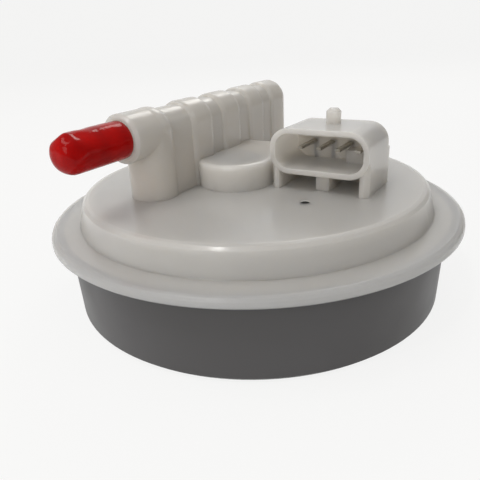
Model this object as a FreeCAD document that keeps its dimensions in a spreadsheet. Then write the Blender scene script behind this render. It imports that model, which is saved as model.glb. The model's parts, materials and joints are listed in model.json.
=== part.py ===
import FreeCAD, Part
import math
import os
import re
import Sketcher
from FreeCAD import Placement, Rotation, Vector

# In-tank fuel pump module. The origin is on the flange's axis, at the underside of its lip, +Z up.
# The outlet pipe and the electrical socket point to -Y.

doc = FreeCAD.newDocument("FuelPumpModule")
sheet = doc.addObject("Spreadsheet::Sheet", "Sizes")

sizes = {
    # moulded flange: lip, raised plateau, hollow underside and skirt
    "lip_overhang": 5.4,
    "lip_thickness": 2.8,
    "lip_round": 1.7,
    "lip_under_round": 0.6,
    "plateau_inset": 3.2,
    "plateau_slope": 1.5,
    "plateau_height": 10.5,
    "plateau_round": 2.2,
    "roof_thickness": 2.5,
    "shell_wall": 2.6,
    "skirt_depth": 7.0,
    "skirt_wall": 2.6,
    "skirt_fit": 0.15,
    "snap_bead": 0.5,
    "snap_depth": 4.5,
    "snap_play": 0.12,
    # gasket in the groove under the lip
    "gasket_width": 2.2,
    "gasket_height": 1.4,
    "gasket_margin": 1.6,
    # reservoir cup
    "cup_radius": 59.6,
    "cup_wall": 1.8,
    "cup_depth": 24.1,
    "cup_foot": 0.8,
    "cup_floor": 1.5,
    "cup_draft": 0.5,
    "cup_edge": 1.4,
    "cup_land": 4.0,
    "cup_notch_width": 6.0,
    # outlet manifold on the flange
    "row_x": -19.3,
    "pipe_z": 29.7,
    "tube_radius": 6.1,
    "rib_radius": 7.0,
    "rib_thickness": 12.5,
    "rib_pitch": 16.8,
    "rib_round": 2.4,
    "last_rib_y": 42.25,
    "tower_y": -26.5,
    "tower_radius": 7.1,
    "hub_radius": 6.9,
    "hub_face_y": -38.2,
    "spigot_radius": 3.95,
    "spigot_length": 18.7,
    "bead_radius": 4.85,
    "bead_width": 1.6,
    "bead_setback": 9.0,
    "spigot_chamfer": 0.6,
    "hub_round": 0.8,
    "fuel_bore": 2.1,
    "plug_radius": 2.6,
    "plug_length": 4.0,
    # vinyl cap on the outlet
    "cap_wall": 0.95,
    "cap_fit": 0.08,
    "cap_end": 2.2,
    "cap_round": 2.8,
    "cap_gap": 0.1,
    # regulator boss, connecting deck and the hole in the plateau
    "boss_x": -3.5,
    "boss_y": -4.5,
    "boss_radius": 12.0,
    "boss_height": 8.0,
    "boss_round": 1.4,
    "boss_roof": 2.0,
    "deck_front_y": 1.5,
    "deck_back_y": 19.5,
    "deck_round": 2.0,
    "hole_x": 25.2,
    "hole_y": -14.8,
    "hole_radius": 1.35,
    "hole_depth": 4.0,
    "hole_boss": 3.4,
    # electrical socket
    "socket_x": 25.2,
    "socket_width": 30.2,
    "socket_bottom": 15.6,
    "socket_height": 13.4,
    "socket_front_y": -6.8,
    "socket_back_y": 14.0,
    "socket_wall": 1.6,
    "socket_corner": 5.9,
    "socket_cavity": 16.3,
    "leg_width": 4.0,
    "side_leg_width": 2.6,
    "side_leg_setback": 0.5,
    "leg_offset": 0.5,
    "leg_setback": 3.0,
    "leg_round": 1.4,
    "socket_back_ease": 2.8,
    "nub_ease": 0.9,
    "nub_x": 25.6,
    "nub_width": 4.2,
    "nub_height": 4.4,
    "nub_length": 3.4,
    "nub_setback": 9.4,
    "key_width": 9.4,
    "key_height": 3.8,
    "key_setback": 12.2,
    # four terminals
    "pin_pitch": 5.95,
    "pin_x": 26.4,
    "pin_z": 22.4,
    "pin_width": 1.4,
    "pin_thickness": 0.8,
    "pin_front_y": -1.5,
    "pin_drop_y": 11.6,
    "pin_low_z": 1.5,
    "pin_fit": 0.05,
    "seal_height": 2.4,
    "seal_margin": 2.2,
    # fuel passages
    "riser_y": 1.8,
    "cross_z": 12.6,
    "cross_bore": 1.3,
    "nipple_radius": 3.9,
    "nipple_length": 10.5,
    "nipple_z": 1.6,
    "barb_proud": 0.2,
    # pressure regulator
    "pocket_radius": 8.5,
    "regulator_fit": 0.15,
    "collar_wall": 2.0,
    "collar_low_z": 1.4,
    "can_radius": 7.0,
    "can_low_z": -7.0,
    "can_wall": 1.2,
    "ring_section": 0.95,
    "ring_low_z": 6.8,
    "ring_high_z": 15.1,
    "valve_seat_z": 9.0,
    "valve_radius": 3.2,
    "valve_height": 2.6,
    "seat_bore": 1.3,
    "seat_depth": 0.6,
    "seat_flare": 0.7,
    "valve_play": 0.04,
    "spring_wire": 0.35,
    "spring_seat_height": 1.4,
    "clip_thickness": 1.0,
    "clip_z": 2.2,
    "clip_grip": 0.9,
    # turbine pump, axis along X
    "pump_y": -27.0,
    "pump_z": -6.6,
    "pump_radius": 13.0,
    "pump_wall": 0.7,
    "pump_inlet_x": 29.0,
    "pump_outlet_x": -27.0,
    "crimp_lip": 1.3,
    "plate_fit": 0.05,
    "inlet_cover_length": 4.8,
    "impeller_radius": 10.9,
    "impeller_width": 3.0,
    "impeller_play": 0.1,
    "vane_count": 24,
    "vane_depth": 1.6,
    "vane_slot": 1.3,
    "plate_length": 4.8,
    "shaft_radius": 1.5,
    "shaft_fit": 0.03,
    "bearing_radius": 3.0,
    "bearing_length": 4.0,
    "magnet_length": 24.0,
    "magnet_thickness": 2.1,
    "air_gap": 0.5,
    "core_length": 18.0,
    "slot_count": 8,
    "slot_radius": 1.9,
    "winding_length": 3.2,
    "commutator_radius": 5.0,
    "commutator_length": 5.0,
    "brush_width": 3.0,
    "brush_height": 4.0,
    "brush_length": 3.8,
    "brush_fit": 0.1,
    "end_cap_length": 14.9,
    "outlet_nipple": 8.0,
    "check_chamber": 2.8,
    "check_length": 2.6,
    "retainer_length": 1.6,
    "inlet_nipple_radius": 4.6,
    "inlet_nipple": 7.5,
    "inlet_bore": 3.0,
    "blade_width": 2.8,
    "blade_thickness": 0.8,
    "blade_length": 5.5,
    "blade_radius": 8.0,
    "blade_spread": 4.2,
    # pump cradle and its rubber rings
    "cushion_thickness": 0.8,
    "cushion_width": 5.0,
    "saddle_inlet_x": 20.0,
    "saddle_outlet_x": -18.0,
    "saddle_wall": 2.6,
    "saddle_top_z": -3.0,
    "rail_width": 3.0,
    "rail_height": 2.0,
    # outlet hose and its clamps
    "hose_wall": 1.0,
    "hose_fit": 0.05,
    "hose_reach_x": -44.5,
    "hose_bend": 10.0,
    "clamp_width": 3.2,
    "clamp_thickness": 0.7,
    # strainer bag on the cup floor
    "strainer_x": 27.0,
    "strainer_y": 8.5,
    "strainer_width": 33.0,
    "strainer_length": 25.0,
    "strainer_height": 6.4,
    "strainer_round": 2.4,
    "elbow_wall": 1.4,
    "elbow_height": 4.0,
    # reserve float switch
    "float_x": -6.0,
    "float_y": 32.0,
    "float_radius": 9.0,
    "float_height": 12.0,
    "float_play": 0.08,
    "stem_radius": 2.2,
    "stem_base_radius": 5.0,
    "stem_base_height": 2.4,
    "stem_end_gap": 0.4,
    "float_clip_radius": 4.2,
    "float_clip_height": 0.8,
    # one-way fill valve in the cup floor
    "fill_x": 18.0,
    "fill_y": 40.0,
    "fill_radius": 6.5,
    "fill_thickness": 1.2,
    "fill_lift": 1.6,
    "fill_pin": 1.2,
    "fill_hole": 1.3,
    "fill_circle": 4.0,
    "fill_nut_radius": 2.8,
    "fill_nut_height": 1.0,
    # leads
    "lead_radius": 0.9,
    "lead_bend": 4.0,
}

for row, (name, value) in enumerate(sizes.items(), start=1):
    sheet.set(f"A{row}", name)
    sheet.set(f"B{row}", str(value))
    sheet.setAlias(f"B{row}", name)
doc.recompute()

word = re.compile(r"[A-Za-z_]\w*")

# Heights and radii that several pieces share, written once in terms of the sheet's sizes.
shared = {
    "lip_radius": "(cup_radius + lip_overhang)",
    "plateau_base_radius": "(cup_radius - plateau_inset)",
    "plateau_top_radius": "(cup_radius - plateau_inset - plateau_slope)",
    "roof_z": "(plateau_height - roof_thickness)",
    "cup_inner": "(cup_radius - cup_wall)",
    "skirt_outer": "(cup_radius - cup_wall - skirt_fit)",
    "skirt_inner": "(cup_radius - cup_wall - skirt_fit - skirt_wall)",
    "floor_z": "(cup_foot + cup_floor - cup_depth)",
    "pump_bore": "(pump_radius - pump_wall)",
    "rotor_face": "(pump_wall + inlet_cover_length)",
    "socket_left": "(socket_x - socket_width / 2)",
    "socket_right": "(socket_x + socket_width / 2)",
    "socket_top": "(socket_bottom + socket_height)",
    "boss_top": "(plateau_height + boss_height)",
    "pocket_top": "(plateau_height + boss_height - boss_roof)",
    "regulator_radius": "(pocket_radius - regulator_fit)",
    "hose_bore": "(nipple_radius + barb_proud + hose_fit)",
    "spigot_end": "(hub_face_y - spigot_length)",
}


def bound(text):
    """Write an expression on the sheet's cells from plain size names."""
    while any(name in shared for name in word.findall(text)):
        text = word.sub(lambda found: shared.get(found.group(), found.group()), text)
    return word.sub(lambda found: "Sizes." + found.group() if found.group() in sizes else found.group(), text)


def size(text):
    """The number that an expression on the size names has now."""
    value = sheet.evalExpression(bound(text))
    return float(getattr(value, "Value", value))


def spot(x, y, z):
    return Vector(size(x), size(y), size(z))


def body_named(label, x="0", y="0", z="0", turn=None):
    """A body whose own frame stands at x, y, z, each an expression on the sizes."""
    body = doc.addObject("PartDesign::Body", label)
    body.Label = label
    if turn:
        body.Placement = Placement(Vector(0, 0, 0), turn)
    place(body, x, y, z)
    return body


def place(thing, x, y, z):
    for axis, text in zip("xyz", (x, y, z)):
        if text != "0":
            thing.setExpression(f"Placement.Base.{axis}", bound(text))


def sketch_on(body, plane, offset="0"):
    sketch = body.newObject("Sketcher::SketchObject", "Outline")
    support = next(part for part in body.Origin.OriginFeatures if part.Role == plane)
    sketch.AttachmentSupport = [(support, "")]
    sketch.MapMode = "FlatFace"
    if offset != "0":
        sketch.setExpression("AttachmentOffset.Base.z", bound(offset))
    return sketch


def limit(sketch, text, *where):
    number = sketch.addConstraint(Sketcher.Constraint(*where, size(text)))
    sketch.setExpression(f"Constraints[{number}]", bound(text))


def fix_point(sketch, line, end, u, v):
    for kind, text, axis in (("DistanceX", u, -2), ("DistanceY", v, -1)):
        if text == "0":
            sketch.addConstraint(Sketcher.Constraint("PointOnObject", line, end, axis))
        else:
            limit(sketch, text, kind, -1, 1, line, end)


def outline(sketch, corners):
    """A closed outline of straight lines through the corners."""
    first = sketch.GeometryCount
    spots = [Vector(size(u), size(v), 0) for u, v in corners]
    for here, there in zip(spots, spots[1:] + spots[:1]):
        sketch.addGeometry(Part.LineSegment(here, there), False)
    for step, (u, v) in enumerate(corners):
        following = first + (step + 1) % len(corners)
        sketch.addConstraint(Sketcher.Constraint("Coincident", first + step, 2, following, 1))
        fix_point(sketch, first + step, 1, u, v)


def circle(sketch, u, v, radius):
    number = sketch.addGeometry(Part.Circle(Vector(size(u), size(v), 0), Vector(0, 0, 1), size(radius)), False)
    fix_point(sketch, number, 3, u, v)
    limit(sketch, radius, "Radius", number)


def rounded_box(sketch, left, right, low, high, corner):
    """A rectangle with four equal round corners."""
    a, b, c, d, r = (size(text) for text in (left, right, low, high, corner))
    quarter = math.pi / 2
    pieces = [
        Part.LineSegment(Vector(a + r, c, 0), Vector(b - r, c, 0)),
        Part.ArcOfCircle(Part.Circle(Vector(b - r, c + r, 0), Vector(0, 0, 1), r), 3 * quarter, 4 * quarter),
        Part.LineSegment(Vector(b, c + r, 0), Vector(b, d - r, 0)),
        Part.ArcOfCircle(Part.Circle(Vector(b - r, d - r, 0), Vector(0, 0, 1), r), 0, quarter),
        Part.LineSegment(Vector(b - r, d, 0), Vector(a + r, d, 0)),
        Part.ArcOfCircle(Part.Circle(Vector(a + r, d - r, 0), Vector(0, 0, 1), r), quarter, 2 * quarter),
        Part.LineSegment(Vector(a, d - r, 0), Vector(a, c + r, 0)),
        Part.ArcOfCircle(Part.Circle(Vector(a + r, c + r, 0), Vector(0, 0, 1), r), 2 * quarter, 3 * quarter),
    ]
    first = sketch.GeometryCount
    for piece in pieces:
        sketch.addGeometry(piece, False)
    for step in range(8):
        following = first + (step + 1) % 8
        sketch.addConstraint(Sketcher.Constraint("Tangent", first + step, 2, following, 1))
    for line, kind in ((0, "Horizontal"), (2, "Vertical"), (4, "Horizontal"), (6, "Vertical")):
        sketch.addConstraint(Sketcher.Constraint(kind, first + line))
    for arc in (3, 5, 7):
        sketch.addConstraint(Sketcher.Constraint("Equal", first + 1, first + arc))
    limit(sketch, corner, "Radius", first + 1)
    limit(sketch, low, "DistanceY", -1, 1, first, 1)
    limit(sketch, right, "DistanceX", -1, 1, first + 2, 1)
    limit(sketch, high, "DistanceY", -1, 1, first + 4, 1)
    limit(sketch, left, "DistanceX", -1, 1, first + 6, 1)


def extrude(body, sketch, length, cut=False):
    """Material, or a cut, from the sketch along its own normal."""
    feature = body.newObject("PartDesign::Pocket" if cut else "PartDesign::Pad", "Cut" if cut else "Pad")
    feature.Profile = sketch
    feature.setExpression("Length", bound(length))
    feature.Reversed = cut
    return feature


def turned(body, corners, cut=False):
    """A revolve about the body's Z axis of an outline given as radius and height."""
    sketch = sketch_on(body, "XZ_Plane")
    outline(sketch, corners)
    feature = body.newObject("PartDesign::Groove" if cut else "PartDesign::Revolution", "Turned")
    feature.Profile = sketch
    feature.ReferenceAxis = (sketch, ["V_Axis"])
    feature.Angle = 360.0
    return feature


def turned_about(body, plane, offset, middle, corners):
    """A revolve about the sketch's upright line at the given distance, of corners measured from it."""
    sketch = sketch_on(body, plane, offset)
    outline(sketch, [(f"{middle} + {u}", v) for u, v in corners])
    heights = sorted(size(v) for u, v in corners)
    ends = [Vector(size(middle), height, 0) for height in (heights[0], heights[-1])]
    axis = sketch.addGeometry(Part.LineSegment(*ends), True)
    for end in (1, 2):
        limit(sketch, middle, "DistanceX", -1, 1, axis, end)
    feature = body.newObject("PartDesign::Revolution", "Turned")
    feature.Profile = sketch
    feature.ReferenceAxis = (sketch, ["Axis0"])
    feature.Angle = 360.0
    return feature


def eased(u, v, reach, side, rise):
    """Three flats that round a corner off; side and rise are the signs of the way into the piece."""
    quarter = ((1, 0), (0.5, 0.134), (0.134, 0.5), (0, 1))
    return [(f"{u} {side} {reach} * {across}", f"{v} {rise} {reach} * {along}") for across, along in quarter]


def upright(body, draw, low, high, cut=False):
    sketch = sketch_on(body, "XY_Plane", low)
    draw(sketch)
    return extrude(body, sketch, f"({high}) - ({low})", cut)


def along_y(body, draw, low, high, cut=False):
    sketch = sketch_on(body, "XZ_Plane", f"-({high})")
    draw(sketch)
    return extrude(body, sketch, f"({high}) - ({low})", cut)


def along_x(body, draw, low, high, cut=False):
    sketch = sketch_on(body, "YZ_Plane", low)
    draw(sketch)
    return extrude(body, sketch, f"({high}) - ({low})", cut)


def box_of(left, right, low, high):
    return outline_of([(left, low), (right, low), (right, high), (left, high)])


def outline_of(corners):
    return lambda sketch: outline(sketch, corners)


def circle_of(u, v, radius):
    return lambda sketch: circle(sketch, u, v, radius)


def rounded_of(left, right, low, high, corner):
    return lambda sketch: rounded_box(sketch, left, right, low, high, corner)


def round_edges(body, feature, radius, wanted, kind="Fillet"):
    """Round, or chamfer, the edges of a feature that the test picks."""
    doc.recompute()
    names = [f"Edge{n}" for n, edge in enumerate(feature.Shape.Edges, start=1) if wanted(edge)]
    if not names:
        raise RuntimeError(f"no edge to round on {body.Label}: {feature.Name} {feature.getStatusString()}")
    rounding = body.newObject(f"PartDesign::{kind}", kind)
    rounding.Base = (feature, names)
    rounding.setExpression("Radius" if kind == "Fillet" else "Size", bound(radius))
    return rounding


def circle_at(edge, radius, height, slack=0.02):
    if edge.Degenerated or not isinstance(edge.Curve, Part.Circle):
        return False
    curve = edge.Curve
    return abs(curve.Radius - size(radius)) < slack and abs(curve.Center.z - size(height)) < slack


def polar(body, features, count):
    axis = next(part for part in body.Origin.OriginFeatures if part.Role == "Z_Axis")
    pattern = body.newObject("PartDesign::PolarPattern", "Around")
    pattern.Originals = features
    pattern.Axis = (axis, [""])
    pattern.Angle = 360.0
    pattern.setExpression("Occurrences", bound(count))
    body.Tip = pattern
    return pattern


def shape_node(label, shape):
    """A piece whose solid is made with the kernel's own functions."""
    feature = doc.addObject("Part::Feature", label)
    feature.Label = label
    feature.Shape = shape
    return feature


def route_points(points, bend, steps=4):
    """Straight runs through the points, with every corner taken in short steps round an arc."""
    path = [points[0]]
    for before, corner, after in zip(points, points[1:], points[2:]):
        inward = (before - corner).normalize()
        outward = (after - corner).normalize()
        half = inward.getAngle(outward) / 2
        centre = corner + (inward + outward).normalize() * (bend / math.sin(half))
        first = corner + inward * (bend / math.tan(half))
        last = corner + outward * (bend / math.tan(half))
        sweep = math.pi - 2 * half
        for step in range(steps + 1):
            share = math.sin(sweep * step / steps) / math.sin(sweep)
            rest = math.sin(sweep * (steps - step) / steps) / math.sin(sweep)
            path.append(centre + (first - centre) * rest + (last - centre) * share)
    return path + [points[-1]]


def rod_along(path, radius, sides):
    """A rod of even-sided section along the path, mitred at its corners."""
    heading = (path[1] - path[0]).normalize()
    across = heading.cross(Vector(0, 0, 1))
    if across.Length < 0.1:
        across = heading.cross(Vector(1, 0, 0))
    across.normalize()
    upward = heading.cross(across)
    ring = []
    for side in range(sides + 1):
        angle = 2 * math.pi * side / sides
        ring.append(path[0] + across * (radius * math.cos(angle)) + upward * (radius * math.sin(angle)))
    return Part.makePolygon(path).makePipeShell([Part.makePolygon(ring)], True, False, 1)


def coil_spring(label, radius, wire, bottom, top, turns, placement):
    """A helical spring of six-sided wire on the Z axis of the placement, its wire's middle at the radius."""
    low, high, reach = size(bottom) + size(wire), size(top) - size(wire), size(radius)
    steps = 12 * turns
    path = []
    for step in range(steps + 1):
        angle = math.pi / 6 * step
        path.append(Vector(reach * math.cos(angle), reach * math.sin(angle), low + (high - low) * step / steps))
    coil = shape_node(label, rod_along(path, size(wire), 6))
    coil.Placement = placement
    return coil


# Turns a body's own Z axis so that it points along -X, towards the pump's outlet.
to_outlet = Rotation(Vector(0, 1, 0), -90)


def make_flange():
    flange = body_named("flange")
    # One revolved shell: raised plateau, lip with the gasket groove, skirt and the hollow underside.
    turned(flange, [
        ("0", "plateau_height")] + eased("plateau_top_radius", "plateau_height", "plateau_round", "-", "-") + [
        ("plateau_base_radius", "lip_thickness")] + eased("lip_radius", "lip_thickness", "lip_round", "-", "-") + [
        ("lip_radius", "lip_under_round"),
        ("lip_radius - lip_under_round", "0"),
        ("lip_radius - gasket_margin", "0"),
        ("lip_radius - gasket_margin", "gasket_height"),
        ("lip_radius - gasket_margin - gasket_width", "gasket_height"),
        ("lip_radius - gasket_margin - gasket_width", "0"),
        ("skirt_outer", "0"),
        ("skirt_outer", "-snap_depth + snap_bead"),
        ("skirt_outer + snap_bead", "-snap_depth"),
        ("skirt_outer", "-snap_depth - snap_bead"),
        ("skirt_outer", "-skirt_depth"),
        ("skirt_inner", "-skirt_depth"),
        ("plateau_top_radius - shell_wall", "roof_z"),
        ("0", "roof_z"),
    ])

    # Shell of the electrical socket, eased round its back while it still stands free of its legs.
    shell = along_y(flange, rounded_of("socket_left", "socket_right", "socket_bottom", "socket_top",
                                       "socket_corner"), "socket_front_y", "socket_back_y")
    back_face = size("socket_back_y")
    round_edges(flange, shell, "socket_back_ease", lambda edge: lies_at(edge, back_face), "Chamfer")

    # Outlet manifold: tower, web and tube, and the four round-topped lobes along it.
    foot = "plateau_height - roof_thickness / 2"
    back = "last_rib_y + rib_thickness / 2"
    upright(flange, circle_of("row_x", "tower_y", "tower_radius"), foot, "pipe_z")
    dome = flange.newObject("PartDesign::AdditiveSphere", "TowerTop")
    dome.setExpression("Radius", bound("tower_radius"))
    place(dome, "row_x", "tower_y", "pipe_z")
    along_y(flange, box_of("row_x - tube_radius", "row_x + tube_radius", foot, "pipe_z"), "tower_y", back)
    along_y(flange, circle_of("row_x", "pipe_z", "tube_radius"), "tower_y", back)
    for rib in range(4):
        front = f"last_rib_y - {3 - rib} * rib_pitch - rib_thickness / 2"
        rear = f"last_rib_y - {3 - rib} * rib_pitch + rib_thickness / 2"
        right = eased("rib_radius", front, "rib_round", "-", "+") + eased(
            "rib_radius", rear, "rib_round", "-", "-")[::-1]
        turned_about(flange, "XY_Plane", "pipe_z", "row_x", [("0", front)] + right + [("0", rear)])
        plan = [(f"row_x + {u}", v) for u, v in right] + [(f"row_x - ({u})", v) for u, v in right[::-1]]
        upright(flange, outline_of(plan), foot, "pipe_z")

    # Hub and spigot of the outlet, with the bead that a quick connector latches behind.
    bead_front = "spigot_end + bead_setback - bead_width / 2"
    turned_about(flange, "XY_Plane", "pipe_z", "row_x", [
        ("0", "tower_y"), ("hub_radius", "tower_y"), ("hub_radius", "hub_face_y + hub_round"),
        ("hub_radius - hub_round", "hub_face_y"), ("spigot_radius", "hub_face_y"),
        ("spigot_radius", f"{bead_front} + bead_width"), ("bead_radius", f"{bead_front} + bead_width"),
        ("bead_radius", f"{bead_front} + bead_width / 2"), ("spigot_radius", bead_front),
        ("spigot_radius", "spigot_end + spigot_chamfer"), ("spigot_radius - spigot_chamfer", "spigot_end"),
        ("0", "spigot_end"),
    ])

    # Regulator boss, and the deck that joins it to the manifold and the socket.
    turned_about(flange, "XZ_Plane", "-boss_y", "boss_x", [
        ("0", foot), ("boss_radius", foot)] + eased("boss_radius", "boss_top", "boss_round", "-", "-")[::-1] + [
        ("0", "boss_top"),
    ])
    upright(flange, rounded_of("row_x", "socket_left + deck_round", "deck_front_y", "deck_back_y", "deck_round"),
            foot, "boss_top")

    # Legs that carry the electrical socket, and the latch nub on top of it.
    rear = "socket_front_y + socket_cavity"
    upright(flange, rounded_of("socket_left", "socket_right", rear, "socket_back_y", "socket_wall"),
            foot, "socket_bottom + socket_corner")
    front = "socket_front_y + side_leg_setback"
    for edge, inward in (("socket_left", "+"), ("socket_right", "-")):
        plan = [(edge, "socket_back_y - socket_wall"), (edge, f"{front} + leg_round"),
                (f"{edge} {inward} leg_round", front), (f"{edge} {inward} side_leg_width", front),
                (f"{edge} {inward} side_leg_width", "socket_back_y - socket_wall")]
        upright(flange, outline_of(plan), foot, "socket_bottom + socket_corner")
    middle = "socket_x + leg_offset"
    upright(flange, box_of(f"{middle} - leg_width / 2", f"{middle} + leg_width / 2",
                           "socket_front_y + leg_setback", "socket_back_y - socket_wall"),
            foot, "socket_bottom + socket_wall")
    nub = upright(flange, rounded_of("nub_x - nub_width / 2", "nub_x + nub_width / 2",
                                     "socket_front_y + nub_setback", "socket_front_y + nub_setback + nub_length",
                                     "nub_width / 3"), "socket_top - socket_wall / 2", "socket_top + nub_height")
    crown = size("socket_top + nub_height")
    round_edges(flange, nub, "nub_ease", lambda edge: abs(edge.BoundBox.ZMin - crown) < 0.01, "Chamfer")

    # Underside: regulator collar, fuel riser with its hose nipple, float boss, bottom of the blind hole.
    upright(flange, circle_of("boss_x", "boss_y", "pocket_radius + collar_wall"), "collar_low_z",
            "plateau_height")
    upright(flange, circle_of("row_x", "riser_y", "nipple_radius + 1"), "nipple_z - nipple_radius - 1",
            "plateau_height")
    along_x(flange, circle_of("riser_y", "nipple_z", "nipple_radius"),
            "row_x - nipple_radius - nipple_length", "row_x")
    for barb in range(2):
        reach = f"row_x - nipple_radius - nipple_length + 1.5 + {barb} * 3"
        along_x(flange, circle_of("riser_y", "nipple_z", "nipple_radius + barb_proud"), reach, f"{reach} + 1")
    upright(flange, circle_of("hole_x", "hole_y", "hole_boss"), "plateau_height - hole_depth - 1.5",
            "plateau_height - roof_thickness / 2")

    # Cavity of the socket and its key.
    along_y(flange, rounded_of("socket_left + socket_wall", "socket_right - socket_wall",
                               "socket_bottom + socket_wall", "socket_top - socket_wall",
                               "socket_corner - socket_wall"),
            "socket_front_y - 1", rear, cut=True)
    along_y(flange, box_of("socket_right - socket_wall - key_width", "socket_right - socket_wall / 2",
                           "socket_bottom + socket_wall / 2", "socket_bottom + socket_wall + key_height"),
            "socket_front_y + key_setback", rear)

    # Regulator pocket and the slot for its clip.
    upright(flange, circle_of("boss_x", "boss_y", "pocket_radius"), "collar_low_z - 1", "pocket_top", cut=True)
    upright(flange, circle_of("boss_x", "boss_y", "pocket_radius + clip_grip"), "clip_z - 0.1",
            "clip_z + clip_thickness + 0.1", cut=True)

    # Fuel passages: along the manifold, down the riser, out of the nipple and across to the regulator.
    along_y(flange, circle_of("row_x", "pipe_z", "fuel_bore"), "spigot_end - 1", f"{back} + 1", cut=True)
    along_y(flange, circle_of("row_x", "pipe_z", "plug_radius"), f"{back} - plug_length", f"{back} + 1",
            cut=True)
    upright(flange, circle_of("row_x", "riser_y", "fuel_bore"), "nipple_z", "pipe_z", cut=True)
    along_x(flange, circle_of("riser_y", "nipple_z", "fuel_bore"),
            "row_x - nipple_radius - nipple_length - 1", "row_x", cut=True)
    along_x(flange, circle_of("riser_y", "cross_z", "cross_bore"), "row_x - tube_radius - 3",
            "boss_x - pocket_radius / 2", cut=True)
    along_x(flange, circle_of("riser_y", "cross_z", "cross_bore + 0.6"), "row_x - tube_radius - 3",
            "row_x - tube_radius + 2", cut=True)
    upright(flange, circle_of("hole_x", "hole_y", "hole_radius"), "plateau_height - hole_depth",
            "plateau_height + 1", cut=True)
    upright(flange, circle_of("float_x", "float_y", "stem_radius"), "plateau_height - roof_thickness - 1",
            "plateau_height - 1", cut=True)

    # Slots for the four terminals: in from the socket, then down through the back wall.
    for pin in range(4):
        left = pin_side(pin, "-", "+ pin_fit")
        right = pin_side(pin, "+", "+ pin_fit")
        along_y(flange, box_of(left, right, "pin_z - pin_thickness / 2 - pin_fit",
                               "pin_z + pin_thickness / 2 + pin_fit"),
                f"{rear} - 1", "pin_drop_y + pin_thickness / 2 + pin_fit", cut=True)
        upright(flange, box_of(left, right, "pin_drop_y - pin_thickness / 2 - pin_fit",
                               "pin_drop_y + pin_thickness / 2 + pin_fit"),
                "roof_z - 1", "pin_z + pin_thickness / 2 + pin_fit", cut=True)
    return flange


def lies_at(edge, y):
    """True for an edge of the socket's shell that lies in the upright plane at y."""
    box = edge.BoundBox
    above = box.ZMin > size("socket_bottom") - 0.01 and box.ZMax < size("socket_top") + 0.01
    return above and abs(box.YMin - y) < 0.01 and abs(box.YMax - y) < 0.01


def pin_side(pin, sign, more=""):
    return f"pin_x + {pin - 1.5} * pin_pitch {sign} (pin_width / 2 {more})"


def make_terminals():
    """Four flat terminals, each bent down behind the socket: one group of separate solids."""
    blades = []
    for pin in range(4):
        x = size(pin_side(pin, "-"))
        y, z = size("pin_drop_y"), size("pin_z")
        half = size("pin_thickness") / 2
        front, low = size("pin_front_y"), size("pin_low_z")
        side = [Vector(x, front, z - half), Vector(x, y - half, z - half), Vector(x, y - half, low),
                Vector(x, y + half, low), Vector(x, y + half, z + half), Vector(x, front, z + half)]
        face = Part.Face(Part.makePolygon(side + side[:1]))
        blades.append(face.extrude(Vector(size("pin_width"), 0, 0)))
    return shape_node("connector_terminals", Part.makeCompound(blades))


def make_terminal_seal():
    seal = body_named("terminal_seal")
    left, right = pin_side(0, "-", "+ seal_margin"), pin_side(3, "+", "+ seal_margin")
    upright(seal, rounded_of(left, right, "pin_drop_y - seal_margin", "pin_drop_y + seal_margin",
                             "seal_margin / 2"), "roof_z - seal_height", "roof_z")
    for pin in range(4):
        upright(seal, box_of(pin_side(pin, "-"), pin_side(pin, "+"),
                             "pin_drop_y - pin_thickness / 2", "pin_drop_y + pin_thickness / 2"),
                "roof_z - seal_height - 1", "roof_z + 1", cut=True)
    return seal


def make_outlet_cap():
    """Dip-moulded vinyl cap, drawn on its own Z axis and laid along -Y."""
    cap = body_named("outlet_cap", "row_x", "hub_face_y - cap_gap", "pipe_z", Rotation(Vector(1, 0, 0), 90))
    inner = "bead_radius + cap_fit"
    outer = "bead_radius + cap_fit + cap_wall"
    length = "spigot_length + cap_end"
    turned(cap, [
        (inner, "0"), (outer, "0")] + eased(f"({outer})", length, "cap_round", "-", "-")[::-1] + [
        ("0", length), ("0", "spigot_length + cap_gap"), (inner, "spigot_length + cap_gap"),
    ])
    return cap


def make_gasket():
    gasket = body_named("tank_gasket")
    turned(gasket, [
        ("lip_radius - gasket_margin - gasket_width", "0"), ("lip_radius - gasket_margin", "0"),
        ("lip_radius - gasket_margin", "gasket_height"),
        ("lip_radius - gasket_margin - gasket_width", "gasket_height"),
    ])
    return gasket


def make_passage_plugs():
    back = "last_rib_y + rib_thickness / 2"
    rear = Part.makeCylinder(size("plug_radius"), size("plug_length"),
                             spot("row_x", f"{back} - plug_length", "pipe_z"), Vector(0, 1, 0))
    side = Part.makeCylinder(size("cross_bore + 0.6"), 2.0,
                             spot("row_x - tube_radius", "riser_y", "cross_z"), Vector(1, 0, 0))
    return shape_node("passage_plugs", Part.makeCompound([rear, side]))


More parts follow.
